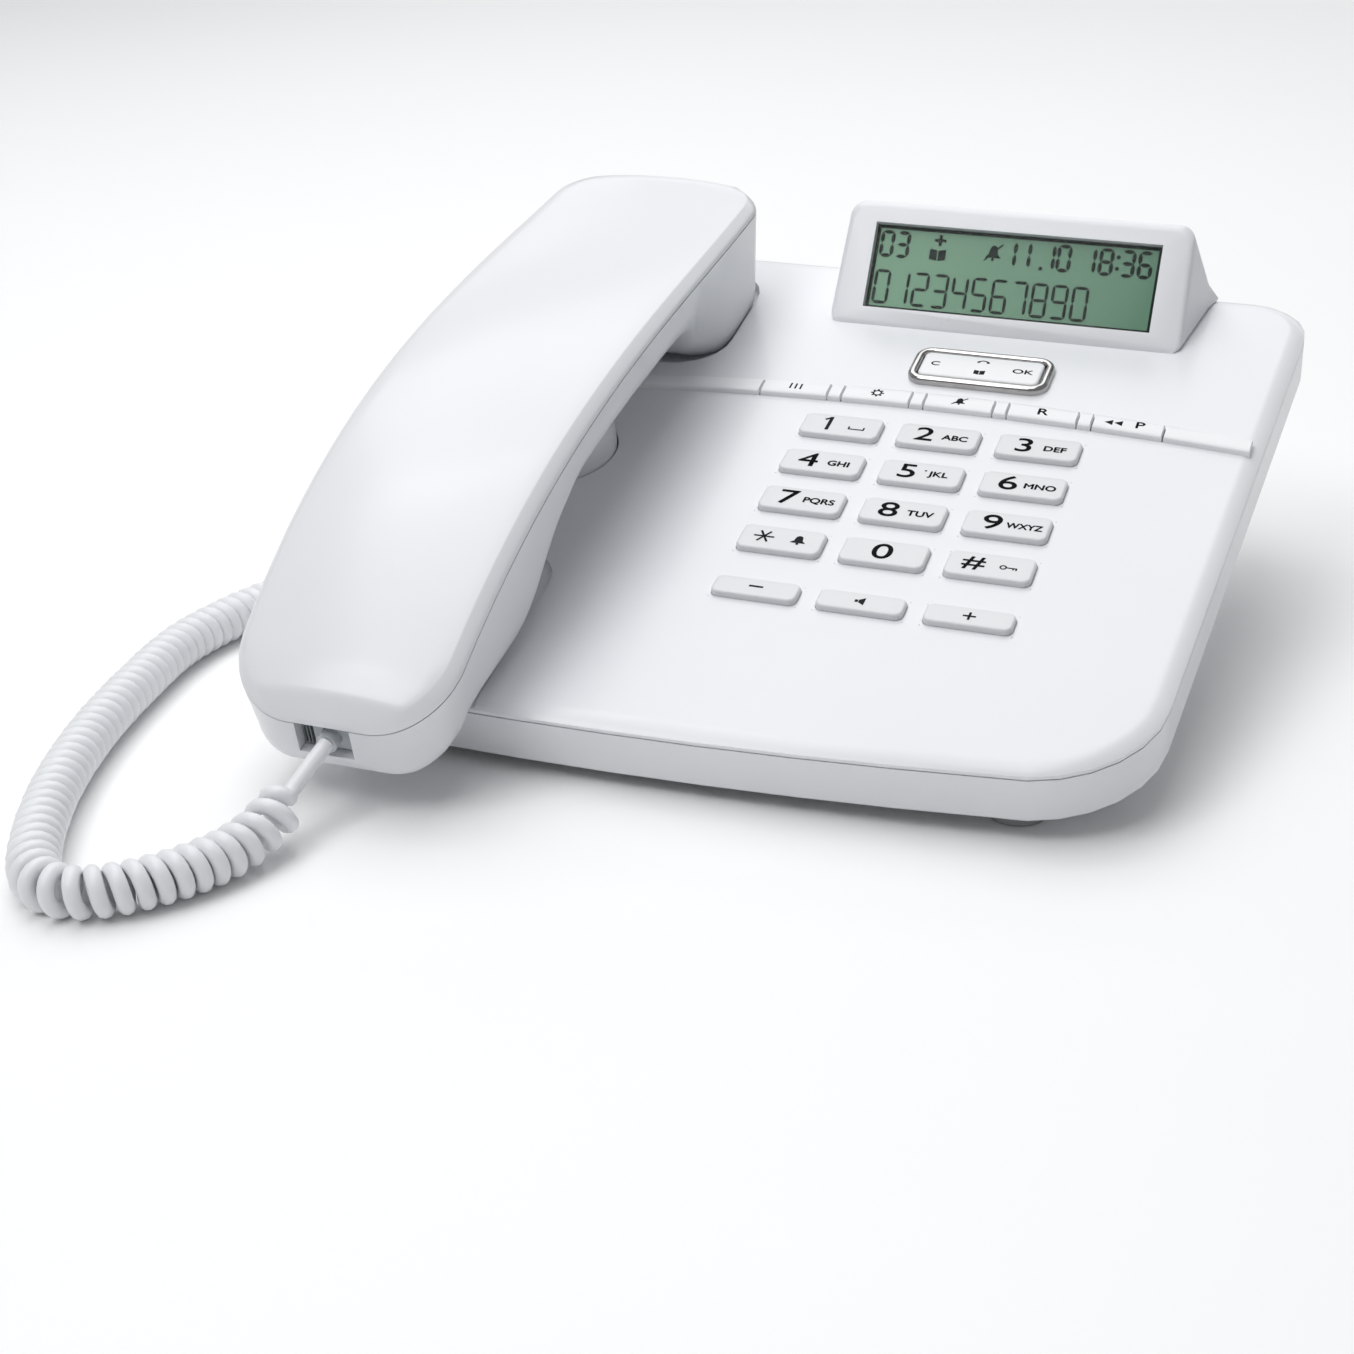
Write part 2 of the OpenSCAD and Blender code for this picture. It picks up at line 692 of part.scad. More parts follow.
module display_panel() {
    color(screen_green) on_slab() on_face() translate([0, window_mid, -hood_wall - panel_t])
        linear_extrude(panel_t - 0.02) square([panel_w - 0.6, panel_h - 0.6], center = true);
}

module display_board() {
    color(board_green) on_slab() on_face() translate([0, window_mid, -hood_wall - panel_t - board_t])
        linear_extrude(board_t - 0.02) square([panel_w - 0.6, panel_h - 0.6], center = true);
}

// ---------- boards and parts inside the base ----------

module main_board() {
    color(board_green) on_slab() difference() {
        extrude_z(board_top_z - board_t, board_top_z)
            polygon(shifted(round_rect(board_right - board_left, board_back - board_front, 3, 2),
                (board_left + board_right) / 2, (board_front + board_back) / 2));
        for (p = board_screw_places) translate(p)
            translate([0, 0, board_top_z - 3]) cylinder(r = screw_r + 0.4, h = 5);
    }
}

// Chips, capacitors and the line transformer, on the board's underside above the belly
module board_components() {
    z = board_top_z - board_t;
    color([0.2, 0.2, 0.22]) on_slab() {
        box([-8, -10, z - 1], [8, 6, z]);
        box([14, -14, z - 1], [24, -4, z]);
        box([30, 34, z - 12], [46, 48, z]);
        box([10, 40, z - 8], [18, 50, z]);
        for (i = [0 : 2]) translate([-10, 20 + 10 * i, z - 10]) cylinder(r = 4, h = 10);
    }
}

module board_screws() {
    color(bright_metal) on_slab() for (p = board_screw_places) translate(p) {
        translate([0, 0, board_top_z - board_t - 1]) cylinder(r = head_r - 0.3, h = 1);
        translate([0, 0, board_top_z - board_t - eps]) cylinder(r = screw_r, h = board_t + 3);
    }
}

module base_screws() {
    seat_z = floor_z + wall - 0.8;
    color(bright_metal) on_slab() for (p = screw_places) translate(p) {
        translate([0, 0, seat_z - head_t]) cylinder(r = head_r, h = head_t);
        translate([0, 0, seat_z - eps]) cylinder(r = screw_r, h = 7);
    }
}

module hook_switch() {
    grip_z = hs_par(hook_y) - grip_depth;
    dome_h = grip_z - run_gap;
    flange_z = -4 - run_gap - hook_travel;
    // Rounded dome: the profile runs from its straight skirt up to the middle
    profile = concat(
        [[0, flange_z - 1.2], [hook_r + 1.1, flange_z - 1.2], [hook_r + 1.1, flange_z], [hook_r, flange_z]],
        [for (i = [0 : 10]) let (a = 90 * i / 10) [hook_r * cos(a), 2 + (dome_h - 2) * sin(a)]]);
    color(shell_white) on_slab() translate([handset_x, hook_y, 0]) difference() {
        rotate_extrude($fn = 64) polygon(profile);
        translate([0, 0, flange_z - 2]) cylinder(r = hook_r - wall, h = 2 - flange_z);
    }
}

module hook_spring() {
    turns = 3.5;
    steps = 12;
    bottom = floor_top_z + 0.7;
    top = -0.9;
    r = 6;
    path = [for (i = [0 : turns * steps]) let (a = 360 * i / steps)
        [r * cos(a), r * sin(a), bottom + (top - bottom) * i / (turns * steps)]];
    color(bright_metal) on_slab() translate([handset_x, hook_y, 0]) tube(path, 0.6, 6, [0, 0, 1]);
}

module hook_microswitch() {
    color([0.15, 0.15, 0.16]) on_slab() translate([handset_x, hook_y, floor_top_z])
        box([-3.2, -2.9, 0], [3.2, 2.9, 5]);
}

module base_speaker() {
    z = foot_h + wall;
    color([0.2, 0.2, 0.22]) translate([0, speaker_y, z]) rotate_extrude()
        polygon([[0, 0], [speaker_r, 0], [speaker_r, 2.4], [speaker_r * 0.55, 4.6], [speaker_r * 0.4, 4.6],
            [speaker_r * 0.4, 8], [0, 8]]);
}

mic_x = 46;
mic_r = 3.2;
// Near the front wall, and clear of the main board
mic_y = min(19.7 - front_reach, board_front - mic_r - 1);

module base_microphone() {
    color([0.2, 0.2, 0.22]) on_slab() translate([mic_x, mic_y, floor_top_z]) cylinder(r = mic_r, h = 3.6);
}

module ballast_plate() {
    half = belly_w / 2 - belly_corner_r - 1;
    color(bright_metal) box([-half, -belly_front + 4, foot_h + wall],
        [half, speaker_y - speaker_r - 2, foot_h + wall + ballast_t]);
}

// ---------- sockets and plugs ----------

line_z = foot_h + 16;
line_depth = 14;

module line_jack_hole() {
    box([-line_w / 2 - 1.2, belly_back - wall - 1, line_z - line_h / 2 - 1.2],
        [line_w / 2 + 1.2, belly_back + 1, line_z + line_h / 2 + 1.2]);
}

module line_jack() {
    color([0.2, 0.2, 0.22]) difference() {
        union() {
            box([-line_w / 2 - 2.5, belly_back - line_depth - 1, line_z - line_h / 2 - 2.5],
                [line_w / 2 + 2.5, belly_back - wall, line_z + line_h / 2 + 2.5]);
            box([-line_w / 2 - 1.1, belly_back - wall - eps, line_z - line_h / 2 - 1.1],
                [line_w / 2 + 1.1, belly_back - 0.3, line_z + line_h / 2 + 1.1]);
            // Legs that stand the socket on the belly's floor
            for (s = [-1, 1]) box([s * 5.5 - 1, belly_back - line_depth - 1, foot_h + wall],
                [s * 5.5 + 1, belly_back - wall - 2, line_z - line_h / 2 - 2.4]);
        }
        box([-line_w / 2, belly_back - line_depth + 0.5, line_z - line_h / 2],
            [line_w / 2, belly_back + 1, line_z + line_h / 2]);
    }
}

cord_jack_y = 10;
cord_jack_z = floor_top_z + 1.2 + plug_h / 2;
plug_len = 11;
jack_wall = 1;

// Left face of the base at the handset cord's socket
cord_jack_x = -side_edge(cord_jack_y);

module cord_jack_mouth() {
    m = plug_w / 2 + plug_gap;
    h = plug_h / 2 + plug_gap;
    box([cord_jack_x - 3, cord_jack_y - m, cord_jack_z - h], [cord_jack_x + wall + 3, cord_jack_y + m, cord_jack_z + h]);
}

// Solid block left in the side band where the socket's mouth is
module cord_jack_block() {
    box([cord_jack_x - 5, cord_jack_y - 6, floor_top_z - 1], [cord_jack_x + wall + 0.6, cord_jack_y + 6, -top_drop - 3]);
}

module cord_jack() {
    m = plug_w / 2 + plug_gap;
    h = plug_h / 2 + plug_gap;
    x0 = cord_jack_x + wall + 0.65;
    x1 = cord_jack_x + plug_len + 2.4;
    color([0.2, 0.2, 0.22]) on_slab() difference() {
        box([x0, cord_jack_y - m - jack_wall, floor_top_z], [x1, cord_jack_y + m + jack_wall, cord_jack_z + h + jack_wall]);
        box([x0 - 1, cord_jack_y - m, cord_jack_z - h], [x1 - 1.4, cord_jack_y + m, cord_jack_z + h]);
    }
}

// Clear modular plug: the origin is on its cord face, and it points along +y
module plug() {
    difference() {
        union() {
            box([-plug_w / 2, 0, -plug_h / 2], [plug_w / 2, plug_len, plug_h / 2]);
            rotate([90, 0, 0]) cylinder(r = cord_d / 2 + 0.6, h = plug_collar);
        }
        box([-plug_w / 2 - 1, 3, plug_h / 2 - 1], [plug_w / 2 + 1, plug_len - 3, plug_h / 2 + 1]);
    }
}

plug_collar = 2.6;
hs_jack_z = 6.4;
hs_plug_y = -hs_near + 1.8;

module base_plug() {
    color([0.85, 0.87, 0.9, 0.6]) on_slab() translate([cord_jack_x + 0.6, cord_jack_y, cord_jack_z])
        rotate([0, 0, -90]) plug();
}

module handset_plug() {
    color([0.85, 0.87, 0.9, 0.6]) on_slab() translate([handset_x, hs_plug_y, hs_jack_z]) plug();
}

module handset_jack() {
    m = plug_w / 2 + plug_gap;
    h = plug_h / 2 + plug_gap;
    y0 = -hs_near + 4.4;
    y1 = hs_plug_y + plug_len + 1.6;
    color([0.2, 0.2, 0.22]) on_slab() difference() {
        box([handset_x - m - jack_wall, y0, hs_jack_z - h - jack_wall], [handset_x + m + jack_wall, y1, hs_jack_z + h + jack_wall]);
        box([handset_x - m, y0 - 1, hs_jack_z - h], [handset_x + m, y1 - 1.2, hs_jack_z + h]);
    }
}

// ---------- handset ----------

grip_depth = 14.5;

// Height of the parting line: an arch that falls faster towards the mouth end
function hs_par(y) = let (t = (y + 35.2) / 110) arch_h - 20.2 * t * t + 11.4 * t * t * t;
// Half width along the handset, before its ends are rounded
function hs_side(y) = hs_half_w - 2.3 * pow((y - 11) / 110, 2);
// Half width with rounded ends
function rounding(e, r) = e >= r ? 0 : r - sqrt(r * r - pow(r - e, 2));
function hs_w(y) = hs_side(y) - max(rounding(y + hs_near, hs_near_r), rounding(hs_far - y, hs_far_r));

ear_cup_z = ear_well_z + cradle_gap;

// Underside stations: place along the handset, height of the underside, radius of its edge, and how
// much narrower the underside is there, which rounds the front corners of the ear cup
hs_under = [
    [-hs_near, 2, 3, 0], [-hs_near + 1, 0, 4, 0], [-hs_near + 2.8, -1.8, 5, 0],
    [-hs_near + 5.5, -3.1, 7, 0], [-hs_near + 9, -3.7, 9, 0], [-hs_near + 14, -3.1, 10, 0],
    [-hs_near + 19, -1.3, 10, 0], [-102, -0.9, 10, 0], [-90, -0.9, 10, 0], [-84, -0.4, 10, 0],
    [-78, 2, 10, 0], [-72, 6.2, 10, 0], [-66, 10, 10, 0], [-60, 12.6, 10, 0],
    [-50, hs_par(-50) - grip_depth, 10, 0], [-38, hs_par(-38) - grip_depth, 10, 0],
    [-25, hs_par(-25) - grip_depth, 10, 0], [-10, hs_par(-10) - grip_depth, 10, 0],
    [4, hs_par(4) - grip_depth, 10, 0], [12, hs_par(12) - grip_depth - 0.4, 10, 0],
    [18, 10.2, 9, 1], [23, 5.5, 7, 3.5], [27, 1, 5, 5], [31, -1.6, 4, 3], [35, ear_cup_z, 3, 1.2],
    [39, ear_cup_z, 3, 0.3], [48, ear_cup_z, 3, 0], [hs_far - 8, ear_cup_z, 3, 0],
    [hs_far - 4, ear_cup_z + 0.2, 3, 0], [hs_far - 1.4, -1.6, 3, 0], [hs_far, 0.4, 3, 0]];
// Draft of the side wall: how far the underside lies inside the parting line
function hs_draft(i) = let (d = hs_par(hs_under[i][0]) - hs_under[i][1]) 0.06 * d + 0.4 + hs_under[i][3];

// Open trough from the left parting line down, along the underside and up to the right one
function trough(i, inset, floor_z, top_z) =
    let (
        y = hs_under[i][0],
        w = max(hs_w(y) - inset, 1.5),
        depth = top_z - floor_z,
        r = min(hs_under[i][2], depth * 0.8, (w - 0.6) * 0.8),
        wb = w - min(hs_draft(i), w * 0.35),
        right = concat([[w, top_z]], [for (k = [0 : 4]) let (a = 90 * k / 4)
            [wb - r + r * cos(a), floor_z + r - r * sin(a)]])
    )
    concat([for (p = right) [p[0] + handset_x, y, p[1]]],
        [for (k = [len(right) - 1 : -1 : 0]) [handset_x - right[k][0], y, right[k][1]]]);

// Ring of the lower shell: the outside trough, then the inside one back; solid at both ends
function lower_ring(i) =
    let (
        y = hs_under[i][0], top = hs_par(y) - 0.15, low = hs_under[i][1],
        last = len(hs_under) - 1,
        hollow = i >= 4 && i <= last - 2,
        inner_floor = hollow ? low + hs_wall : top - 0.5,
        outer = trough(i, 0, low, top),
        inner = trough(i, hs_wall, inner_floor, top)
    )
    concat(outer, [for (k = [len(inner) - 1 : -1 : 0]) inner[k]]);

module handset_lower_shell() {
    color(shell_white) on_slab() difference() {
        loft([for (i = [0 : len(hs_under) - 1]) lower_ring(i)], folded = true);
        // Socket's opening in the mouth end
        box([handset_x - plug_w / 2 - 0.9, -hs_near - 2, hs_jack_z - plug_h / 2 - 0.7],
            [handset_x + plug_w / 2 + 0.9, -hs_near + 4.4, 20]);
        handset_jack_pocket();
        for (a = [0 : 60 : 300]) translate([handset_x + 8 * cos(a), ear_y + 8 * sin(a), -6])
            cylinder(r = 1.2, h = 8);
        translate([handset_x, ear_y, -6]) cylinder(r = 1.2, h = 8);
        for (k = [-2 : 2]) translate([handset_x + 4 * k, mic_hole_y, -6]) cylinder(r = 0.9, h = 8);
        for (p = hs_screw_places) translate([handset_x, p, hs_par(p) - grip_depth - 1])
            cylinder(r = screw_r + 0.3, h = hs_wall + 3);
    }
}

// Room for the socket behind the opening
module handset_jack_pocket() {
    m = plug_w / 2 + plug_gap + jack_wall + 0.2;
    h = plug_h / 2 + plug_gap + jack_wall + 0.2;
    box([handset_x - m, -hs_near + 4.2, hs_jack_z - h], [handset_x + m, hs_plug_y + plug_len + 2, 30]);
}

ear_y = 47;
mic_hole_y = -95.5;
hs_screw_places = [-48, 0];

// Outside of the back: chamfer, then a shallow crown
function back_line(y, inset, rise, top_z) =
    let (
        w = max(hs_w(y) - inset, 1.4),
        cw = min(hs_chamfer_w, w * 0.5),
        wt = w - cw,
        right = [[w, top_z], [w - 0.12 * cw, top_z + 0.45 * rise], [w - 0.5 * cw, top_z + 0.8 * rise], [wt, top_z + rise],
            [wt * 0.66, top_z + rise + crown_h * 0.6], [wt * 0.33, top_z + rise + crown_h * 0.9]]
    )
    concat([for (p = right) [p[0] + handset_x, y, p[1]]], [[handset_x, y, top_z + rise + crown_h]],
        [for (k = [len(right) - 1 : -1 : 0]) [handset_x - right[k][0], y, right[k][1]]]);

hs_back_places = [-hs_near, -hs_near + 0.8, -hs_near + 2, -hs_near + 3.6, -hs_near + 5.5, -hs_near + 9,
    -hs_near + 14, -102, -92, -80, -68, -54, -40, -25, -10, 5, 20, 35, 48, hs_far - 10, hs_far - 6,
    hs_far - 3.4, hs_far - 1.6, hs_far - 0.5, hs_far];

// Height of the chamfer, running out to a thin edge at both ends
function end_rise(y) = let (e = min(y + hs_near, (hs_far - y) * 1.6))
    e >= 5.5 ? hs_chamfer_h : end_edge + (hs_chamfer_h - end_edge) * sin(90 * e / 5.5);

function back_ring(i) =
    let (
        y = hs_back_places[i], z = hs_par(y) + 0.15, last = len(hs_back_places) - 1,
        hollow = i >= 5 && i <= last - 4,
        outer = back_line(y, 0, end_rise(y), z),
        flat = [for (p = back_line(y, hs_wall, end_rise(y), z)) [p[0], p[1], z + 0.2 * (p[2] - z)]],
        inner = hollow ? back_line(y, hs_wall, max(end_rise(y) - hs_wall, 0.4), z) : flat
    )
    concat([for (k = [len(outer) - 1 : -1 : 0]) outer[k]], inner);

module handset_top_shell() {
    color(shell_white) on_slab() difference() {
        union() {
            loft([for (i = [0 : len(hs_back_places) - 1]) back_ring(i)], folded = true);
            for (p = hs_screw_places) translate([handset_x, p, hs_par(p) - grip_depth + hs_wall + 0.5])
                cylinder(r = boss_r - 0.4, h = grip_depth - hs_wall + hs_chamfer_h - 0.4);
        }
        for (p = hs_screw_places) translate([handset_x, p, hs_par(p) - grip_depth])
            cylinder(r = screw_r + 0.05, h = grip_depth - 1);
    }
}

module handset_screws() {
    color(bright_metal) on_slab() for (p = hs_screw_places) {
        z = hs_par(p) - grip_depth;
        translate([handset_x, p, z + 0.2]) cylinder(r = screw_r, h = 9);
    }
}

module earpiece_capsule() {
    z = ear_well_z + cradle_gap + hs_wall + 0.1;
    color([0.2, 0.2, 0.22]) on_slab() translate([handset_x, ear_y, z]) rotate_extrude()
        polygon([[0, 0], [12, 0], [12, 4], [8, 6.5], [8, 9], [0, 9]]);
}

module handset_microphone() {
    color([0.2, 0.2, 0.22]) on_slab() translate([handset_x, mic_hole_y, -0.9 + hs_wall + 0.1])
        cylinder(r = 4.8, h = 5.5);
}

module handset_weight() {
    y0 = -38;
    y1 = -12;
    z = hs_par(-25) - grip_depth + hs_wall + 0.15;
    color(bright_metal) on_slab() box([handset_x - 6, y0, z], [handset_x + 6, y1, z + 4]);
}

// ---------- cord ----------

// A cord's end is cut square: the last stretch runs straight out of the face that it meets
lead_end = 2;
face_gap = 0.02;

// Where the front lead leaves the handset's plug, in table coordinates
front_exit = slab_point([handset_x, hs_plug_y - plug_collar - face_gap, hs_jack_z]);
rear_exit = slab_point([cord_jack_x + 0.6 - plug_collar - face_gap, cord_jack_y, cord_jack_z]);

// A slab point in table coordinates
function slab_point(p) = [p[0], p[1] * cos(tilt) - p[2] * sin(tilt) + slab_y,
    p[1] * sin(tilt) + p[2] * cos(tilt) + slab_z];

front_lead_points = [[-64.2, -107, 12.5], [-65.2, -111.6, 10.1]];
coil_points = [[-65.5, -116.4, 7.8], [-66.5, -121, 6.1], [-68.3, -127.7, 5], [-71, -134.3, 4.9], [-76, -142.3, 4.9],
    [-82, -148.3, 4.9], [-88, -151.3, 4.9], [-94, -150.3, 4.9], [-100, -143.3, 4.9], [-106, -132.5, 4.9],
    [-112, -119, 4.9], [-117, -104, 4.9], [-121, -88, 4.9], [-124, -70, 4.9], [-126, -52, 4.9],
    [-124, -36, 4.9], [-120, -22, 4.9], [-114, -10, 4.9], [-107, 0, 4.9]];
rear_lead_points = [[-105, 6, 5.2], [-104, 12, 8], [-103, 19, 15], [-101, 26, 24], [-97, 32, 31]];

function unit(v) = v / norm(v);
coil_last = len(coil_points) - 1;
coil_in = unit(coil_points[1] - coil_points[0]);
coil_out = unit(coil_points[coil_last] - coil_points[coil_last - 1]);
front_out = [0, -cos(tilt), -sin(tilt)];
rear_out = [-1, 0, 0];

module cord_front_lead() {
    path = concat([front_exit, front_exit + lead_end * front_out], front_lead_points,
        [coil_points[0] - lead_end * coil_in, coil_points[0] - face_gap * coil_in]);
    color(cord_white) tube(path, cord_d / 2, 8, [1, 0, 0]);
}

module cord_coil() {
    color(cord_white) tube(coil_points, coil_d / 2, 12, [0, 0, 1]);
}

module cord_rear_lead() {
    path = concat([coil_points[coil_last] + face_gap * coil_out, coil_points[coil_last] + lead_end * coil_out],
        rear_lead_points, [rear_exit + lead_end * rear_out, rear_exit]);
    color(cord_white) tube(path, cord_d / 2, 8, [0.2, 0.4, 1]);
}

// ---------- drawing ----------

base_top_shell();
base_bottom_shell();
rubber_feet();
display_hood();
display_lens();
display_panel();
display_board();
main_board();
board_components();
key_mat();
function_mat();
function_strip();
nav_rim();
nav_carrier();
nav_key();
for (i = [0 : 11])
    digit_key(i);
low_key(0);  // key_quieter
low_key(1);  // key_speaker
low_key(2);  // key_louder
function_key(0);  // function_key_menu
function_key(1);  // function_key_settings
function_key(2);  // function_key_mute
function_key(3);  // function_key_recall
function_key(4);  // function_key_redial
hook_switch();
hook_spring();
hook_microswitch();
base_speaker();
base_microphone();
line_jack();
cord_jack();
ballast_plate();
base_screws();
board_screws();
handset_top_shell();
handset_lower_shell();
earpiece_capsule();
handset_microphone();
handset_jack();
handset_weight();
handset_screws();
handset_plug();
base_plug();
cord_front_lead();
cord_coil();
cord_rear_lead();
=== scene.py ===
import json
import math

import bmesh
import bpy
from mathutils import Matrix, Vector


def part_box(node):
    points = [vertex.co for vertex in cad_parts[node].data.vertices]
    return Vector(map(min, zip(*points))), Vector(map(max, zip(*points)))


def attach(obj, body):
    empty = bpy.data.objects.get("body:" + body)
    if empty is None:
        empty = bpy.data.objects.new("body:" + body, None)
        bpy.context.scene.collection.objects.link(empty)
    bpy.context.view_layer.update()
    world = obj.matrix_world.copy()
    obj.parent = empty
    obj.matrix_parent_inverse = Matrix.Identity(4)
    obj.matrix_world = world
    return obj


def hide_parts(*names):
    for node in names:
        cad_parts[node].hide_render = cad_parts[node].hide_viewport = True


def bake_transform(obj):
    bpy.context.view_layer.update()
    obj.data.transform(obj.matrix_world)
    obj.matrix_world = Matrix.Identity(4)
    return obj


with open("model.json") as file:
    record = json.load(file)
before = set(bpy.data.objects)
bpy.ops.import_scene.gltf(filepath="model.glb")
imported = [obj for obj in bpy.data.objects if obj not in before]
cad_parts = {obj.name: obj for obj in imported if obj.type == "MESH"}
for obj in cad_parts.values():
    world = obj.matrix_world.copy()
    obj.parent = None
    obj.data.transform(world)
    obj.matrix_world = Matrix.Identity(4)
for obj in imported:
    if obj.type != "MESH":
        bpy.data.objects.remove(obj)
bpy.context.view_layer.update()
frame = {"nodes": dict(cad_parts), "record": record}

nodes = frame["nodes"]

# ---------------- the leaning panel
# Most lengths are millimetres. PANEL, TABLE and FACE turn those on the leaning panel, on the table and on
# the display's face into metres of the frame. Materials, the floor and the lights are in metres.

MM = 0.001
TILT = math.radians(15)
FRONT_REACH = 103.7
BACK_REACH = 77.0
FLOOR_Z = -13.2
BOTTOM_ROUND = 1.2
FOOT_H = 2.0

# The handset lies along the panel from -NEAR to FAR, about the line x = HANDSET_X.
NEAR, FAR = 127.2, 67.1
NEAR_R, FAR_R = 14.5, 13.0
HANDSET_X = -63.5
HALF_W = 26.2
SIDE_BOW, WIDEST_Y, BOW_REACH = 2.3, 11, 110
GRIP_DEPTH = 14.5
CROWN_H, CROWN_RUN = 1.8, 9
CHAMFER_W, CHAMFER_H = 2.3, 2.6
END_EDGE, END_RUN, END_TOP = 0.5, 3.6, 1.8
FAR_END_STEEPER = 1.6
ARCH_H, ARCH_Y, ARCH_REACH, ARCH_FALL, ARCH_SKEW = 30.4, -35.2, 110, 20.2, 11.4


def parting(y):
    """Height of the handset's parting line above the panel."""
    t = (y - ARCH_Y) / ARCH_REACH
    return ARCH_H - ARCH_FALL * t * t + ARCH_SKEW * t ** 3


SLAB_Z = FOOT_H + FRONT_REACH * math.sin(TILT) - FLOOR_Z * math.cos(TILT)
near_reach = NEAR * math.cos(TILT) + (parting(-NEAR) + END_TOP) * math.sin(TILT)
far_reach = BACK_REACH * math.cos(TILT) - (FLOOR_Z + BOTTOM_ROUND) * math.sin(TILT)
SLAB_Y = (near_reach - far_reach) / 2
TABLE = Matrix.Scale(MM, 4)
PANEL = TABLE @ Matrix.Translation((0, SLAB_Y, SLAB_Z)) @ Matrix.Rotation(TILT, 4, "X")
AS_DRAWN = Matrix.Identity(4)

# ---------------- camera

# Solved from the straight edges and the key rows of the photograph.
eye = Vector((130.42, SLAB_Y - 462.12, 202.71)) * MM
right = Vector((0.9384, 0.34555, -0.00094))
up = Vector((-0.14234, 0.38902, 0.91017))
back = right.cross(up).normalized()
camera_data = bpy.data.cameras.new("camera")
camera_data.lens = 60.87
camera_data.sensor_width = 36
camera_data.clip_start = 0.01
camera_data.clip_end = 20
camera = bpy.data.objects.new("camera", camera_data)
camera.matrix_world = Matrix.Translation(eye) @ Matrix((right, up, back)).transposed().to_4x4()
bpy.context.scene.collection.objects.link(camera)
bpy.context.scene.camera = camera

# ---------------- mesh tools


def new_object(name, mesh):
    piece = bpy.data.objects.new(name, mesh)
    bpy.context.scene.collection.objects.link(piece)
    return piece


def mesh_piece(name, points, faces, place=PANEL, sharp=32):
    """A piece from points and faces drawn in millimetres, smooth but for edges sharper than the angle."""
    mesh = bpy.data.meshes.new(name)
    mesh.from_pydata([place @ Vector(p) for p in points], [], faces)
    work = bmesh.new()
    work.from_mesh(mesh)
    bmesh.ops.recalc_face_normals(work, faces=work.faces)
    work.to_mesh(mesh)
    work.free()
    mesh.shade_smooth()
    mesh.set_sharp_from_angle(angle=math.radians(sharp))
    return new_object(name, mesh)


def stack(rings):
    """Points and faces of a closed solid through rings with equal counts."""
    count = len(rings[0])
    points = [p for ring in rings for p in ring]
    faces = [tuple(range(count))[::-1]]
    for k in range(len(rings) - 1):
        for i in range(count):
            j = (i + 1) % count
            faces.append((k * count + i, k * count + j, (k + 1) * count + j, (k + 1) * count + i))
    last = (len(rings) - 1) * count
    faces.append(tuple(range(last, last + count)))
    return points, faces


def closed_band(rings):
    """Points and faces of a hoop: rings with equal counts, of which the last joins the first."""
    points, faces = stack(rings)
    count = len(rings[0])
    last = (len(rings) - 1) * count
    joint = [(last + i, last + (i + 1) % count, (i + 1) % count, i) for i in range(count)]
    return points, faces[1:-1] + joint


def quarter(steps):
    """Angles of a quarter turn, in radians."""
    return [math.pi / 2 * i / steps for i in range(steps + 1)]


def arc(x, y, r, start, end, steps):
    """Points of an arc about (x, y), angles in degrees."""
    turns = [math.radians(start + (end - start) * i / steps) for i in range(steps + 1)]
    return [(x + r * math.cos(a), y + r * math.sin(a)) for a in turns]


def disc(x, y, r, steps=20):
    return arc(x, y, r, 0, 360 - 360 / steps, steps - 1)


def rectangle(x0, y0, x1, y1):
    return [(x0, y0), (x1, y0), (x1, y1), (x0, y1)]


def round_rect(w, d, r, steps=8):
    return (arc(w / 2 - r, r - d / 2, r, -90, 0, steps) + arc(w / 2 - r, d / 2 - r, r, 0, 90, steps)
            + arc(r - w / 2, d / 2 - r, r, 90, 180, steps) + arc(r - w / 2, r - d / 2, r, 180, 270, steps))


def box_piece(name, low, high, place=PANEL):
    corners = [(x, y, z) for z in (low[2], high[2]) for x, y in rectangle(*low[:2], *high[:2])]
    faces = [(3, 2, 1, 0), (4, 5, 6, 7), (0, 1, 5, 4), (1, 2, 6, 5), (2, 3, 7, 6), (3, 0, 4, 7)]
    return mesh_piece(name, corners, faces, place)


def rod(name, x, y, z0, z1, r, steps=24):
    ring = disc(x, y, r, steps)
    return mesh_piece(name, *stack([[(px, py, z) for px, py in ring] for z in (z0, z1)]))


def cut(piece, *cutters):
    """Cuts solids out of a piece and deletes them."""
    for cutter in cutters:
        modifier = piece.modifiers.new("cut", "BOOLEAN")
        modifier.operation = "DIFFERENCE"
        modifier.solver = "EXACT"
        modifier.object = cutter
        bake_modifiers(piece)
        bpy.data.objects.remove(cutter)
    piece.data.set_sharp_from_angle(angle=math.radians(32))


def bake_modifiers(piece):
    made = piece.evaluated_get(bpy.context.evaluated_depsgraph_get())
    mesh = bpy.data.meshes.new_from_object(made)
    piece.modifiers.clear()
    old = piece.data
    piece.data = mesh
    bpy.data.meshes.remove(old)


def round_edges(piece, width, segments, angle):
    """Rounds the piece's edges that are sharper than the angle."""
    bevel = piece.modifiers.new("soft edges", "BEVEL")
    bevel.width = width * MM
    bevel.segments = segments
    bevel.limit_method = "ANGLE"
    bevel.angle_limit = math.radians(angle)


def even_shading(piece, weight):
    normals = piece.modifiers.new("even shading", "WEIGHTED_NORMAL")
    normals.keep_sharp = True
    normals.weight = weight


# ---------------- materials


def new_material(name):
    material = bpy.data.materials.new(name)
    material.use_nodes = True
    tree = material.node_tree
    return material, tree, tree.nodes["Principled BSDF"]


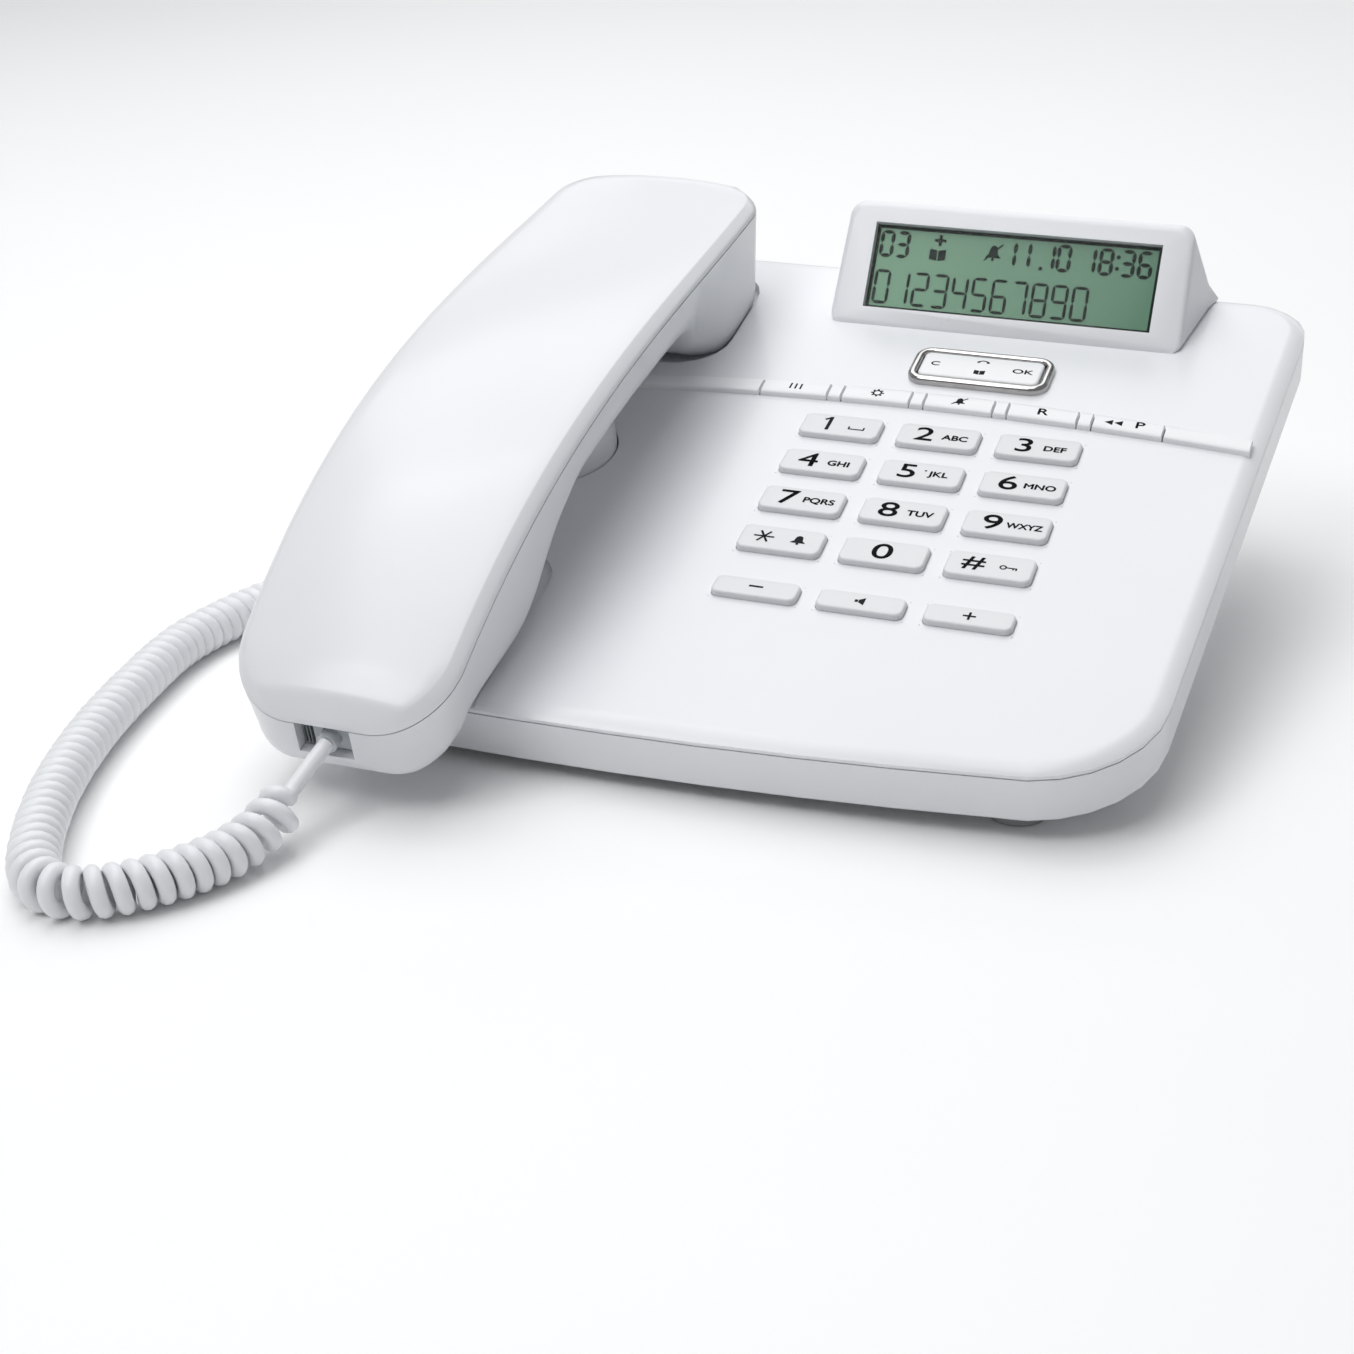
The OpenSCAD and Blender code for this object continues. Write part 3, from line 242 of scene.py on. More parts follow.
def noise(tree, scale, detail=3.0):
    """Noise over the object's own coordinates, in cells per metre."""
    place = tree.nodes.new("ShaderNodeTexCoord")
    texture = tree.nodes.new("ShaderNodeTexNoise")
    texture.inputs["Scale"].default_value = scale
    texture.inputs["Detail"].default_value = detail
    tree.links.new(place.outputs["Object"], texture.inputs["Vector"])
    return texture.outputs["Fac"]


def ramp(tree, value, low, high, at=(0.35, 0.65)):
    """Colour between low and high, by a value between the two places."""
    node = tree.nodes.new("ShaderNodeValToRGB")
    node.color_ramp.elements[0].position = at[0]
    node.color_ramp.elements[0].color = (*low, 1)
    node.color_ramp.elements[1].position = at[1]
    node.color_ramp.elements[1].color = (*high, 1)
    tree.links.new(value, node.inputs["Fac"])
    return node.outputs["Color"]


def spread(tree, value, low, high):
    node = tree.nodes.new("ShaderNodeMapRange")
    node.inputs["To Min"].default_value = low
    node.inputs["To Max"].default_value = high
    tree.links.new(value, node.inputs["Value"])
    return node.outputs["Result"]


def bump(tree, shader, value, strength, distance):
    node = tree.nodes.new("ShaderNodeBump")
    node.inputs["Strength"].default_value = strength
    node.inputs["Distance"].default_value = distance
    tree.links.new(value, node.inputs["Height"])
    tree.links.new(node.outputs["Normal"], shader.inputs["Normal"])


def varied_material(name, shades, cloud, rough, smear):
    """A material whose colour and roughness wander between two values, in cells per metre."""
    material, tree, shader = new_material(name)
    tree.links.new(ramp(tree, noise(tree, cloud), *shades), shader.inputs["Base Color"])
    tree.links.new(spread(tree, noise(tree, smear), *rough), shader.inputs["Roughness"])
    return material, tree, shader


def moulded(name, colour, shade, rough, grain=2600, depth=0.00003, coat=0.0, gloss=0.5):
    """Moulded plastic: slight cloudiness of colour, uneven gloss and a fine spark-eroded grain."""
    material, tree, shader = varied_material(name, (shade, colour), 22, rough, 160)
    shader.inputs["Specular IOR Level"].default_value = gloss
    bump(tree, shader, noise(tree, grain, 2.0), 0.25, depth)
    shader.inputs["Coat Weight"].default_value = coat
    shader.inputs["Coat Roughness"].default_value = 0.12
    return material


def metal(name, colour, shade, rough):
    """Plated metal with faint smears."""
    material, _, shader = varied_material(name, (shade, colour), 300, rough, 700)
    shader.inputs["Metallic"].default_value = 1.0
    return material


def clear(name, colour, alpha, rough):
    """Clear plastic, seen through by its alpha."""
    shade = tuple(c * 0.96 for c in colour)
    material, _, shader = varied_material(name, (shade, colour), 90, rough, 240)
    shader.inputs["Alpha"].default_value = alpha
    shader.inputs["Specular IOR Level"].default_value = 0.8
    return material


def screen_material():
    """Reflective liquid crystal green, with painted light that makes it paler at its left end, and the
    panel's faint texture.
    """
    material, tree, shader = new_material("screen")
    low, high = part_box("display_panel")
    place = tree.nodes.new("ShaderNodeTexCoord")
    split = tree.nodes.new("ShaderNodeSeparateXYZ")
    # place across the panel, from its left end to its right, which sets how much painted light the green
    # carries
    across = tree.nodes.new("ShaderNodeMapRange")
    across.inputs["From Min"].default_value = low.x
    across.inputs["From Max"].default_value = high.x
    tree.links.new(place.outputs["Object"], split.inputs["Vector"])
    tree.links.new(split.outputs["X"], across.inputs["Value"])
    # painted light: paler green at the left end of the panel, darker green at the right
    green = ramp(tree, across.outputs["Result"], (0.205, 0.435, 0.270), (0.115, 0.285, 0.175), (0.05, 0.95))
    tree.links.new(green, shader.inputs["Base Color"])
    tree.links.new(spread(tree, noise(tree, 500), 0.35, 0.45), shader.inputs["Roughness"])
    bump(tree, shader, noise(tree, 4200, 1.0), 0.1, 0.00001)
    return material


def board_material():
    """Green solder mask over traces that show as a slightly paler net."""
    material, tree, shader = new_material("circuit_board")
    place = tree.nodes.new("ShaderNodeTexCoord")
    traces = tree.nodes.new("ShaderNodeTexBrick")
    traces.inputs["Scale"].default_value = 260
    traces.inputs["Color1"].default_value = (0.02, 0.16, 0.07, 1)
    traces.inputs["Color2"].default_value = (0.025, 0.18, 0.08, 1)
    traces.inputs["Mortar"].default_value = (0.05, 0.28, 0.14, 1)
    tree.links.new(place.outputs["Object"], traces.inputs["Vector"])
    tree.links.new(traces.outputs["Color"], shader.inputs["Base Color"])
    tree.links.new(spread(tree, noise(tree, 400), 0.3, 0.5), shader.inputs["Roughness"])
    return material


white = moulded("white_plastic", (0.79, 0.80, 0.825), (0.775, 0.785, 0.81), (0.26, 0.32), coat=0.15)
key_white = moulded("key_plastic", (0.71, 0.72, 0.735), (0.70, 0.71, 0.725), (0.28, 0.34), coat=0.1)
strip_white = moulded("strip_plastic", (0.83, 0.84, 0.855), (0.82, 0.83, 0.845), (0.28, 0.34), coat=0.1)
ink = moulded("ink", (0.014, 0.015, 0.018), (0.010, 0.010, 0.012), (0.6, 0.75), 6000, 0.000005, gloss=0.1)
segment_ink = moulded("segment_ink", (0.014, 0.028, 0.020), (0.010, 0.020, 0.014), (0.6, 0.7),
                      6000, 0.000005, gloss=0.1)
frame_ink = moulded("screen_frame", (0.022, 0.032, 0.026), (0.016, 0.024, 0.020), (0.6, 0.7),
                    5000, 0.000005, gloss=0.1)
dark = moulded("dark_plastic", (0.10, 0.105, 0.11), (0.08, 0.085, 0.09), (0.4, 0.55))
socket_grey = moulded("socket_grey", (0.26, 0.27, 0.28), (0.22, 0.23, 0.24), (0.4, 0.5))
rubber = moulded("grey_rubber", (0.36, 0.365, 0.375), (0.32, 0.325, 0.33), (0.75, 0.9), 1800, 0.00006)
jacket = moulded("cord_jacket", (0.84, 0.85, 0.87), (0.81, 0.82, 0.84), (0.3, 0.38), 1500, 0.00004)
chrome = metal("bright_rim", (0.50, 0.485, 0.48), (0.44, 0.425, 0.42), (0.10, 0.18))
steel = metal("steel", (0.62, 0.63, 0.65), (0.52, 0.53, 0.55), (0.28, 0.42))
plug_clear = clear("clear_plug", (0.80, 0.84, 0.88), 0.55, (0.08, 0.16))
lens_clear = clear("clear_lens", (0.02, 0.03, 0.025), 0.06, (0.04, 0.09))
screen = screen_material()
board = board_material()

SLOT_MATERIALS = {
    "white_plastic": white, "key_plastic": key_white, "bright_rim": chrome, "clear_lens": lens_clear,
    "screen": screen, "circuit_board": board, "dark_plastic": dark, "grey_rubber": rubber,
    "steel": steel, "clear_plug": plug_clear, "cord_jacket": jacket}


def finish_piece(piece, body, material, replaced=()):
    """Gives a piece its material, the body that carries it and the nodes that it replaces."""
    piece.data.materials.clear()
    piece.data.materials.append(material)
    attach(piece, body)
    if replaced:
        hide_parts(*replaced)
    return piece


# ---------------- curly cord

# The turns are tight for most of the way, and wider over the last stretch before the handset's lead.
CORD_D = 3.15
COIL_R = 3.35
WIDE_PITCH, TIGHT_PITCH = 4.4, 3.25
WIDE_RUN, WIDE_RAMP = 22.0, 16.0
COIL_RAMP = 3.0
COIL_STARTS_LATER, COIL_ENDS_LATER = 1.0, 4.0
LINE_STEP = 0.05
SMOOTHING = 90  # points of the line on each side
STEPS_PER_TURN = 20
BEND_WIDENS, MOST_BEND = 0.55, 0.1
LEAD_STEP = 1.5
PLUG_COLLAR, FACE_GAP = 2.6, 0.02
HANDSET_PLUG_IN, BASE_PLUG_IN = 1.8, 0.6
STRAIGHT_OUT = 2
HANDSET_JACK_Z = 6.4
JACK_Y, JACK_Z = 10.0, -7.0
BASE_HALF_W, FLARE = 90, math.radians(2.4)
SIDE_AT_JACK = BASE_HALF_W - (BACK_REACH - JACK_Y) * math.tan(FLARE)

front_y = -NEAR + HANDSET_PLUG_IN - PLUG_COLLAR - FACE_GAP
rear_x = -SIDE_AT_JACK + BASE_PLUG_IN - PLUG_COLLAR - FACE_GAP
front_exit = PANEL @ Vector((HANDSET_X, front_y, HANDSET_JACK_Z)) / MM
rear_exit = PANEL @ Vector((rear_x, JACK_Y, JACK_Z)) / MM
front_out = Vector((0, -math.cos(TILT), -math.sin(TILT)))

# Points that the cord follows on the table, from the handset's plug to the base's.
FRONT_LEAD = [(-64.2, -107, 12.5), (-65.2, -111.6, 10.1)]
COIL = [(-65.5, -116.4, 7.8), (-66.5, -121, 6.1), (-68.3, -127.7, 5), (-71, -134.3, 4.9), (-76, -142.3, 4.9),
        (-82, -148.3, 4.9), (-88, -151.3, 4.9), (-94, -150.3, 4.9), (-100, -143.3, 4.9), (-106, -132.5, 4.9),
        (-112, -119, 4.9), (-117, -104, 4.9), (-121, -88, 4.9), (-124, -70, 4.9), (-126, -52, 4.9),
        (-124, -36, 4.9), (-120, -22, 4.9), (-114, -10, 4.9), (-107, 0, 4.9)]
REAR_LEAD = [(-105, 6, 5.2), (-104, 12, 8), (-103, 19, 15), (-101, 26, 24), (-97, 32, 31)]


def hermite(start, end, leave, arrive, t):
    """Value at t, from 0 to 1, of the smooth curve with these ends and these slopes at them."""
    return (start * (2 * t ** 3 - 3 * t * t + 1) + end * (3 * t * t - 2 * t ** 3)
            + leave * (t ** 3 - 2 * t * t + t) + arrive * (t ** 3 - t * t))


def smooth_line(points, step):
    """Even points on a smooth curve through the given ones, and the distance of each given point."""
    fine, marks = [], []
    for k in range(len(points) - 1):
        before = points[max(k - 1, 0)]
        start, end = points[k], points[k + 1]
        after = points[min(k + 2, len(points) - 1)]
        span = (end - start).length
        leave = (end - before).normalized() * span
        arrive = (after - start).normalized() * span
        marks.append(len(fine))
        fine += [hermite(start, end, leave, arrive, i / 40) for i in range(40)]
    marks.append(len(fine))
    fine.append(points[-1])
    far = [0.0]
    for a, b in zip(fine, fine[1:]):
        far.append(far[-1] + (b - a).length)
    count = int(far[-1] / step)
    even, k = [], 0
    for i in range(count + 1):
        want = far[-1] * i / count
        while k < len(far) - 2 and far[k + 1] < want:
            k += 1
        share = (want - far[k]) / max(far[k + 1] - far[k], 1e-9)
        even.append(fine[k].lerp(fine[k + 1], share))
    return even, [far[m] for m in marks], far[-1] / count


def smooth_step(t):
    """0 up to t = 0, 1 from t = 1 on, and a smooth rise between them."""
    t = min(1.0, max(0.0, t))
    return t * t * (3 - 2 * t)


def evened(line):
    """The line with its bends spread out, but for its straight ends."""
    for _ in range(2):
        sums = [Vector((0, 0, 0))]
        for point in line:
            sums.append(sums[-1] + point)
        spans = [min(SMOOTHING, i, len(line) - 1 - i) for i in range(len(line))]
        line = [(sums[i + k + 1] - sums[i - k]) / (2 * k + 1) for i, k in enumerate(spans)]
    return line


def carried_frames(line):
    """Tangent and a normal that is carried along the line without twisting."""
    end = len(line) - 1
    tangents = [(line[min(i + 1, end)] - line[max(i - 1, 0)]).normalized() for i in range(len(line))]
    normal = tangents[0].orthogonal().normalized()
    normals = []
    for tangent in tangents:
        normal = (normal - tangent * normal.dot(tangent)).normalized()
        normals.append(normal)
    return tangents, normals


def curly_path():
    """Centreline of the wound cord, from the base's socket to the handset's plug."""
    ends = [rear_exit, rear_exit + Vector((-STRAIGHT_OUT, 0, 0))]
    between = [Vector(p) for p in reversed(FRONT_LEAD + COIL + REAR_LEAD)]
    route = ends + between + [front_exit + front_out * STRAIGHT_OUT, front_exit]
    line, marks, step = smooth_line(route, LINE_STEP)
    line = evened(line)
    coil_start = marks[len(ends) + len(REAR_LEAD)] + COIL_STARTS_LATER
    coil_end = marks[len(ends) + len(REAR_LEAD) + len(COIL) - 1] + COIL_ENDS_LATER
    tangents, normals = carried_frames(line)
    path, angle, owed = [], 0.0, 0.0
    for i, point in enumerate(line):
        s = i * step
        curl = smooth_step(min(s - coil_start, coil_end - s) / COIL_RAMP)
        ahead, behind = min(i + SMOOTHING, len(line) - 1), max(i - SMOOTHING, 0)
        bend = (tangents[ahead] - tangents[behind]).length / (line[ahead] - line[behind]).length
        wide = smooth_step((s - (coil_end - WIDE_RUN)) / WIDE_RAMP)
        crowding = BEND_WIDENS * COIL_R * min(bend, MOST_BEND)
        pitch = (TIGHT_PITCH + (WIDE_PITCH - TIGHT_PITCH) * wide) / (1 - crowding)
        if curl > 0:
            angle += 2 * math.pi * step / pitch
            owed += STEPS_PER_TURN * step / pitch
        else:
            owed += step / LEAD_STEP
        if owed >= 1 or i in (0, len(line) - 1):
            if i == len(line) - 1:
                path.pop()
            owed = 0.0
            sideways = tangents[i].cross(normals[i])
            path.append(point + (normals[i] * math.cos(angle) + sideways * math.sin(angle)) * COIL_R * curl)
    return path


def tube_piece(name, path, r, sides=10):
    """A tube with square ends along a path in table millimetres."""
    tangents, normals = carried_frames(path)
    rings = []
    for point, tangent, normal in zip(path, tangents, normals):
        sideways = tangent.cross(normal)
        turns = [2 * math.pi * i / sides for i in range(sides)]
        rings.append([point + (normal * math.cos(a) + sideways * math.sin(a)) * r for a in turns])
    return mesh_piece(name, *stack(rings), TABLE, sharp=60)


cord_path = curly_path()
cord = tube_piece("handset_cord", cord_path, CORD_D / 2)
cord.data.materials.append(jacket)
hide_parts("cord_front_lead", "cord_coil", "cord_rear_lead")
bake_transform(cord)

# ---------------- handset


def ease(points, x):
    """Smooth value between listed (place, value) pairs."""
    places = [p[0] for p in points]
    k = max(i for i in range(len(points) - 1) if places[i] <= x or i == 0)
    (x0, v0), (x1, v1) = points[k], points[k + 1]

    def slope(i):
        if i == 0 or i == len(points) - 1:
            return 0.0 if i else (points[1][1] - points[0][1]) / (points[1][0] - points[0][0])
        left = (points[i][1] - points[i - 1][1]) / (points[i][0] - points[i - 1][0])
        rise = (points[i + 1][1] - points[i][1]) / (points[i + 1][0] - points[i][0])
        return 0.0 if left * rise <= 0 else 2 * left * rise / (left + rise)

    span = x1 - x0
    t = min(1.0, max(0.0, (x - x0) / span))
    return hermite(v0, v1, span * slope(k), span * slope(k + 1), t)


def rounding(e, r):
    """How far a corner of radius r draws the side in, at a distance e from the end."""
    return 0.0 if e >= r else r - math.sqrt(max(r * r - (r - e) ** 2, 0))


def half_width(y):
    side = HALF_W - SIDE_BOW * ((y - WIDEST_Y) / BOW_REACH) ** 2
    return side - max(rounding(y + NEAR, NEAR_R), rounding(FAR - y, FAR_R))


def grip(y, extra=0.0):
    """A profile point of the grip's underside, which follows the parting line at GRIP_DEPTH and extra."""
    return (y, parting(y) - GRIP_DEPTH - extra)


CUP_Z = -2.5

# Profiles along the handset, each a list of (place, value): height of the underside, radius of its
# edges, and how much further than their plain draft its walls lean in.
UNDERSIDE = [(-NEAR, 2), (-NEAR + 1, 0), (-NEAR + 2.8, -1.8), (-NEAR + 5.5, -3.1), (-NEAR + 9, -3.7),
             (-NEAR + 14, -3.1), (-NEAR + 19, -1.3), (-102, -0.9), (-90, -0.9), (-84, -0.4), (-78, 2),
             (-72, 6.2), (-66, 10), (-60, 12.6), grip(-50), grip(-38), grip(-25), grip(-10), grip(4),
             grip(12, 0.4), (18, 10.2), (23, 5.5), (27, 1), (31, -1.6), (35, CUP_Z), (39, CUP_Z), (48, CUP_Z),
             (FAR - 8, CUP_Z), (FAR - 4, CUP_Z + 0.2), (FAR - 1.4, -1.6), (FAR, 0.4)]
EDGE_R = [(-NEAR, 3), (-NEAR + 2.8, 5), (-NEAR + 9, 9), (-NEAR + 14, 10), (12, 10), (18, 9), (23, 7), (27, 5),
          (31, 4), (35, 3), (FAR, 3)]
NARROWING = [(-NEAR, 0), (12, 0), (18, 1), (23, 3.5), (27, 5), (31, 3), (35, 1.2), (39, 0.3), (48, 0),
             (FAR, 0)]


def stations(end_steps=22, middle_steps=90):
    """Places along the handset, close together at its rounded ends."""
    near_end = [-NEAR + NEAR_R * (1 - math.cos(a)) for a in quarter(end_steps)[:-1]]
    first, last = -NEAR + NEAR_R, FAR - FAR_R
    middle = [first + (last - first) * i / middle_steps for i in range(middle_steps)]
    far_end = [FAR - FAR_R * (1 - math.sin(a)) for a in quarter(end_steps)]
    return near_end + middle + far_end


def from_end(y):
    """Distance from the nearer end, counted faster at the far one, where the edge rises more steeply."""
    return min(y + NEAR, (FAR - y) * FAR_END_STEEPER)


def end_rise(y):
    """Height of the chamfer's top edge: low at the ends, with a faint crease where it levels out."""
    e = from_end(y) / END_RUN
    flat = min(1.0, e * 1.06)
    crease = max(0.0, 1 - abs(e - 0.94) / 0.16) ** 2 * 0.035
    return END_EDGE + (CHAMFER_H - END_EDGE) * (flat - crease)


# Points of the rolled chamfer: share of its width inward, share of its height.
CHAMFER = [(0, 0), (0.03, 0.12), (0.10, 0.27), (0.24, 0.44), (0.50, 0.66), (0.76, 0.86), (0.90, 0.955),
           (1, 1)]


def across(side, y):
    """A ring across the handset, from the (x, z) points of its right side."""
    right_points = [(HANDSET_X + x, y, z) for x, z in side]
    return right_points + [(HANDSET_X - x, y, z) for x, z in reversed(side[:-1])]


def back_ring(y):
    """The back across the handset: a rolled chamfer, then a shallow crown, closed along the parting line."""
    w = max(half_width(y), 1.4)
    cw = min(CHAMFER_W, w * 0.5)
    wt = w - cw
    rise = end_rise(y)
    crown = CROWN_H * min(1.0, 0.5 + 0.5 * from_end(y) / CROWN_RUN)
    z = parting(y) + 0.15
    side = [(w - cw * inward, z + rise * height) for inward, height in CHAMFER]
    for i in range(1, 9):
        t = i / 8
        side.append((wt * (1 - t), z + (rise + crown * (1 - (1 - t) ** 2.2))))
    return across(side, y)


def under_ring(y):
    """The trough below the parting line, closed across its top."""
    w = max(half_width(y), 1.5)
    top = parting(y) - 0.15
    low = ease(UNDERSIDE, y)
    depth = top - low
    r = min(ease(EDGE_R, y), depth * 0.8, (w - 0.6) * 0.8)
    draft = 0.06 * (parting(y) - low) + 0.4 + ease(NARROWING, y)
    wb = w - min(draft, w * 0.35)
    wall = [(wb + (w - wb) * t, low + r + (top - low - r) * t) for t in (1.0, 0.93, 0.66, 0.33)]
    corner = [(wb - r + r * math.cos(a), low + r - r * math.sin(a)) for a in quarter(9)]
    flat = [((wb - r) * t, low) for t in (0.66, 0.33, 0.0)]
    return across(wall + corner + flat, y)


EAR_Y, VOICE_Y, HANDSET_SCREWS = 47, -95.5, (-48, 0)


def make_handset():
    places = stations()
    top = mesh_piece("handset_back", *stack([back_ring(y) for y in places]), sharp=50)
    finish_piece(top, "handset", white, ["handset_top_shell"])
    lower = mesh_piece("handset_underside", *stack([under_ring(y) for y in places]), sharp=50)
    mouth = box_piece("cut_mouth", (HANDSET_X - 6.6, -NEAR - 2, HANDSET_JACK_Z - 3.5),
                      (HANDSET_X + 4.9, -NEAR + 4.4, 20))
    pocket = box_piece("cut_pocket", (HANDSET_X - 5.2, -NEAR + 4.2, HANDSET_JACK_Z - 4.2),
                       (HANDSET_X + 5.2, -NEAR + 15, HANDSET_JACK_Z + 4.4))
    ear_ring = disc(HANDSET_X, EAR_Y, 8, 6)
    holes = [rod(f"cut_ear_{i}", x, y, -6, 1.2, 1.2) for i, (x, y) in enumerate(ear_ring)]
    holes.append(rod("cut_ear_middle", HANDSET_X, EAR_Y, -6, 1.2, 1.2))
    holes += [rod(f"cut_voice_{i}", HANDSET_X + 4 * i, VOICE_Y, -6, 2.0, 0.9) for i in range(-2, 3)]
    for i, y in enumerate(HANDSET_SCREWS):
        low = parting(y) - GRIP_DEPTH
        holes.append(rod(f"cut_screw_{i}", HANDSET_X, y, low - 1, low + 2.2, 1.45))
    cut(lower, mouth, pocket, *holes)
    finish_piece(lower, "handset", white, ["handset_lower_shell"])


make_handset()


def make_socket():
    """Ribbed grey block that shows beside the plug in the handset's mouth end."""
    x0, x1 = HANDSET_X - 6.5, HANDSET_X - 4.7
    y0, y1 = -NEAR + 2.2, -NEAR + 4.1
    z0, z1 = HANDSET_JACK_Z - 3.4, HANDSET_JACK_Z + 2.6
    block = box_piece("socket_block", (x0, y0, z0), (x1, y1, z1))
    for i in range(2):
        left = x0 + 0.35 + 0.75 * i
        cut(block, box_piece(f"cut_slot_{i}", (left, y0 - 1, z0 + 0.5), (left + 0.4, y0 + 1.2, z1 + 1)))
    round_edges(block, 0.08, 2, 35)
    even_shading(block, 80)
    finish_piece(block, "handset", socket_grey)


make_socket()

# ---------------- keys and legends

KEY_W, KEY_D, LOW_D, KEY_H = 18.0, 8.6, 6.2, 1.4
KEY_CORNER, KEY_ROLL, KEY_FALL, SKIRT_Z = 1.7, 0.6, 0.35, -1.9
PAD_X, PITCH_X, PITCH_Y, LOW_Y = 19.4, 22.0, 14.7, -60.1
LIP_H = 0.01
COLLAR_GAP, COLLAR_ROLL, COLLAR_REACH, COLLAR_Z = 0.06, 0.08, 0.55, -0.6


def key_top(y, depth):
    """Height of a key's top at a distance from its front edge."""
    return KEY_H - KEY_FALL * y / depth


def key_cap(name, depth):
    """Cap with a rolled top edge and a top that falls towards the back and dips slightly."""
    def ring(inset, drop, at=None):
        points = []
        for x, y in round_rect(KEY_W - 2 * inset, depth - 2 * inset, max(KEY_CORNER - inset, 0.3), 6):
            y += depth / 2
            points.append((x, y, key_top(y, depth) - drop if at is None else at))
        return points

    rings = [ring(0, 0, SKIRT_Z), ring(0, KEY_ROLL)]
    for a in quarter(5)[1:]:
        rings.append(ring(KEY_ROLL * (1 - math.cos(a)), KEY_ROLL * (1 - math.sin(a))))
    rings.append(ring(1.6, 0.02))
    return mesh_piece(name, *stack(rings), AS_DRAWN, sharp=50)


def window_collar(name, x, y, depth):
    """Thin lip of the base round a key, which leaves a hairline gap."""
    def ring(grow, z):
        outline = round_rect(KEY_W + 2 * grow, depth + 2 * grow, KEY_CORNER - grow, 6)
        return [(px + x, py + y + depth / 2, z) for px, py in outline]

    section = [(COLLAR_GAP, COLLAR_Z), (COLLAR_GAP, -COLLAR_ROLL), (COLLAR_GAP + COLLAR_ROLL, LIP_H),
               (COLLAR_REACH, LIP_H), (COLLAR_REACH, COLLAR_Z)]
    collar = mesh_piece(name, *closed_band([ring(grow, z) for grow, z in section]), sharp=50)
    finish_piece(collar, "base", white)


def key_places():
    """Name, middle across, front edge and depth of every key, rows from the back."""
    names = ["1", "2", "3", "4", "5", "6", "7", "8", "9", "star", "0", "hash"]
    for i, name in enumerate(names):
        yield f"key_{name}", PAD_X + (i % 3 - 1) * PITCH_X, -(i // 3) * PITCH_Y, KEY_D
    for i, name in enumerate(("quieter", "speaker", "louder")):
        yield f"key_{name}", PAD_X + (i - 1) * PITCH_X, LOW_Y, LOW_D


def print_on(piece_mesh, x, y, lift, slope, place, thick=0.02):
    """Lays flat shapes drawn in millimetres on a face that rises by slope per millimetre from y = 0."""
    piece_mesh.transform(Matrix.Translation((x, y, 0)))
    for vertex in piece_mesh.vertices:
        vertex.co.z = vertex.co.z * thick + lift + slope * vertex.co.y
    piece_mesh.transform(place)


CAPITAL_SHARE = 0.72  # of the font's size, the height of its capitals


def letters(text, height, wide, bold):
    """A mesh of text with that capital height, centred on the origin, between z 0 and 1."""
    curve = bpy.data.curves.new("letters", "FONT")
    curve.body = text
    curve.size = height / CAPITAL_SHARE
    curve.resolution_u = 6
    curve.extrude = 0.5
    carrier = bpy.data.objects.new("letters", curve)
    bpy.context.scene.collection.objects.link(carrier)
    bpy.context.view_layer.update()
    made = carrier.evaluated_get(bpy.context.evaluated_depsgraph_get())
    mesh = bpy.data.meshes.new_from_object(made)
    bpy.data.objects.remove(carrier)
    bpy.data.curves.remove(curve)
    xs = [v.co.x for v in mesh.vertices]
    ys = [v.co.y for v in mesh.vertices]
    mesh.transform(Matrix.Diagonal((wide, 1, 1, 1)) @ Matrix.Translation(
        (-(min(xs) + max(xs)) / 2, -(min(ys) + max(ys)) / 2, 0.5)))
    return embolden(mesh, bold)


def embolden(mesh, bold):
    """The same letters with heavier strokes: printed four times, a little apart."""
    work = bmesh.new()
    for dx, dy in ((-bold, 0), (bold, 0), (0, -bold), (0, bold)):
        copy = mesh.copy()
        copy.transform(Matrix.Translation((dx, dy, 0)))
        work.from_mesh(copy)
        bpy.data.meshes.remove(copy)
    work.to_mesh(mesh)
    work.free()
    return mesh


def flat_shapes(outlines):
    """A mesh of closed outlines, each a list of (x, y), between z 0 and 1."""
    points, faces = [], []
    for outline in outlines:
        start = len(points)
        count = len(outline)
        points += [(x, y, 0) for x, y in outline] + [(x, y, 1) for x, y in outline]
        faces.append(tuple(range(start, start + count))[::-1])
        faces.append(tuple(range(start + count, start + 2 * count)))
        faces += [(start + i, start + (i + 1) % count, start + count + (i + 1) % count, start + count + i)
                  for i in range(count)]
    mesh = bpy.data.meshes.new("shapes")
    mesh.from_pydata(points, [], faces)
    return mesh


def bar(x0, y0, x1, y1, w):
    """Outline of a straight bar."""
    run = Vector((x1 - x0, y1 - y0)).normalized() * w / 2
    side = Vector((-run.y, run.x))
    return [(x0 + side.x, y0 + side.y), (x0 - side.x, y0 - side.y), (x1 - side.x, y1 - side.y),
            (x1 + side.x, y1 + side.y)]


def ring_bars(x, y, r, w, steps=24):
    """A thin ring as a row of short bars."""
    rim = disc(x, y, r, steps)
    return [bar(*rim[i], *rim[(i + 1) % steps], w) for i in range(steps)]


def bell(s):
    """A small bell: crown, flare, rim and clapper."""
    side = [(-0.14, 0.95), (-0.42, 0.72), (-0.5, 0.3), (-0.56, -0.15), (-0.95, -0.5), (-0.95, -0.62)]
    body = side + [(-x, y) for x, y in reversed(side)]
    return [[(x * s, y * s) for x, y in body[::-1]], disc(0, -0.82 * s, 0.2 * s, 12)]


def key_sign(s):
    """A door key: a ring and a bar with two teeth."""
    return ring_bars(-0.75 * s, 0, 0.38 * s, 0.2 * s, 14) + [
        bar(-0.35 * s, 0, 1.05 * s, 0, 0.2 * s), bar(0.95 * s, 0, 0.95 * s, -0.42 * s, 0.2 * s),
        bar(0.55 * s, 0, 0.55 * s, -0.36 * s, 0.2 * s)]


def speaker_sign(s):
    cone = [(-0.35, -0.32), (0.55, -0.95), (0.55, 0.95), (-0.35, 0.32)]
    return [[(x * s, y * s) for x, y in cone], bar(-0.95 * s, 0, -0.45 * s, 0, 0.62 * s)]


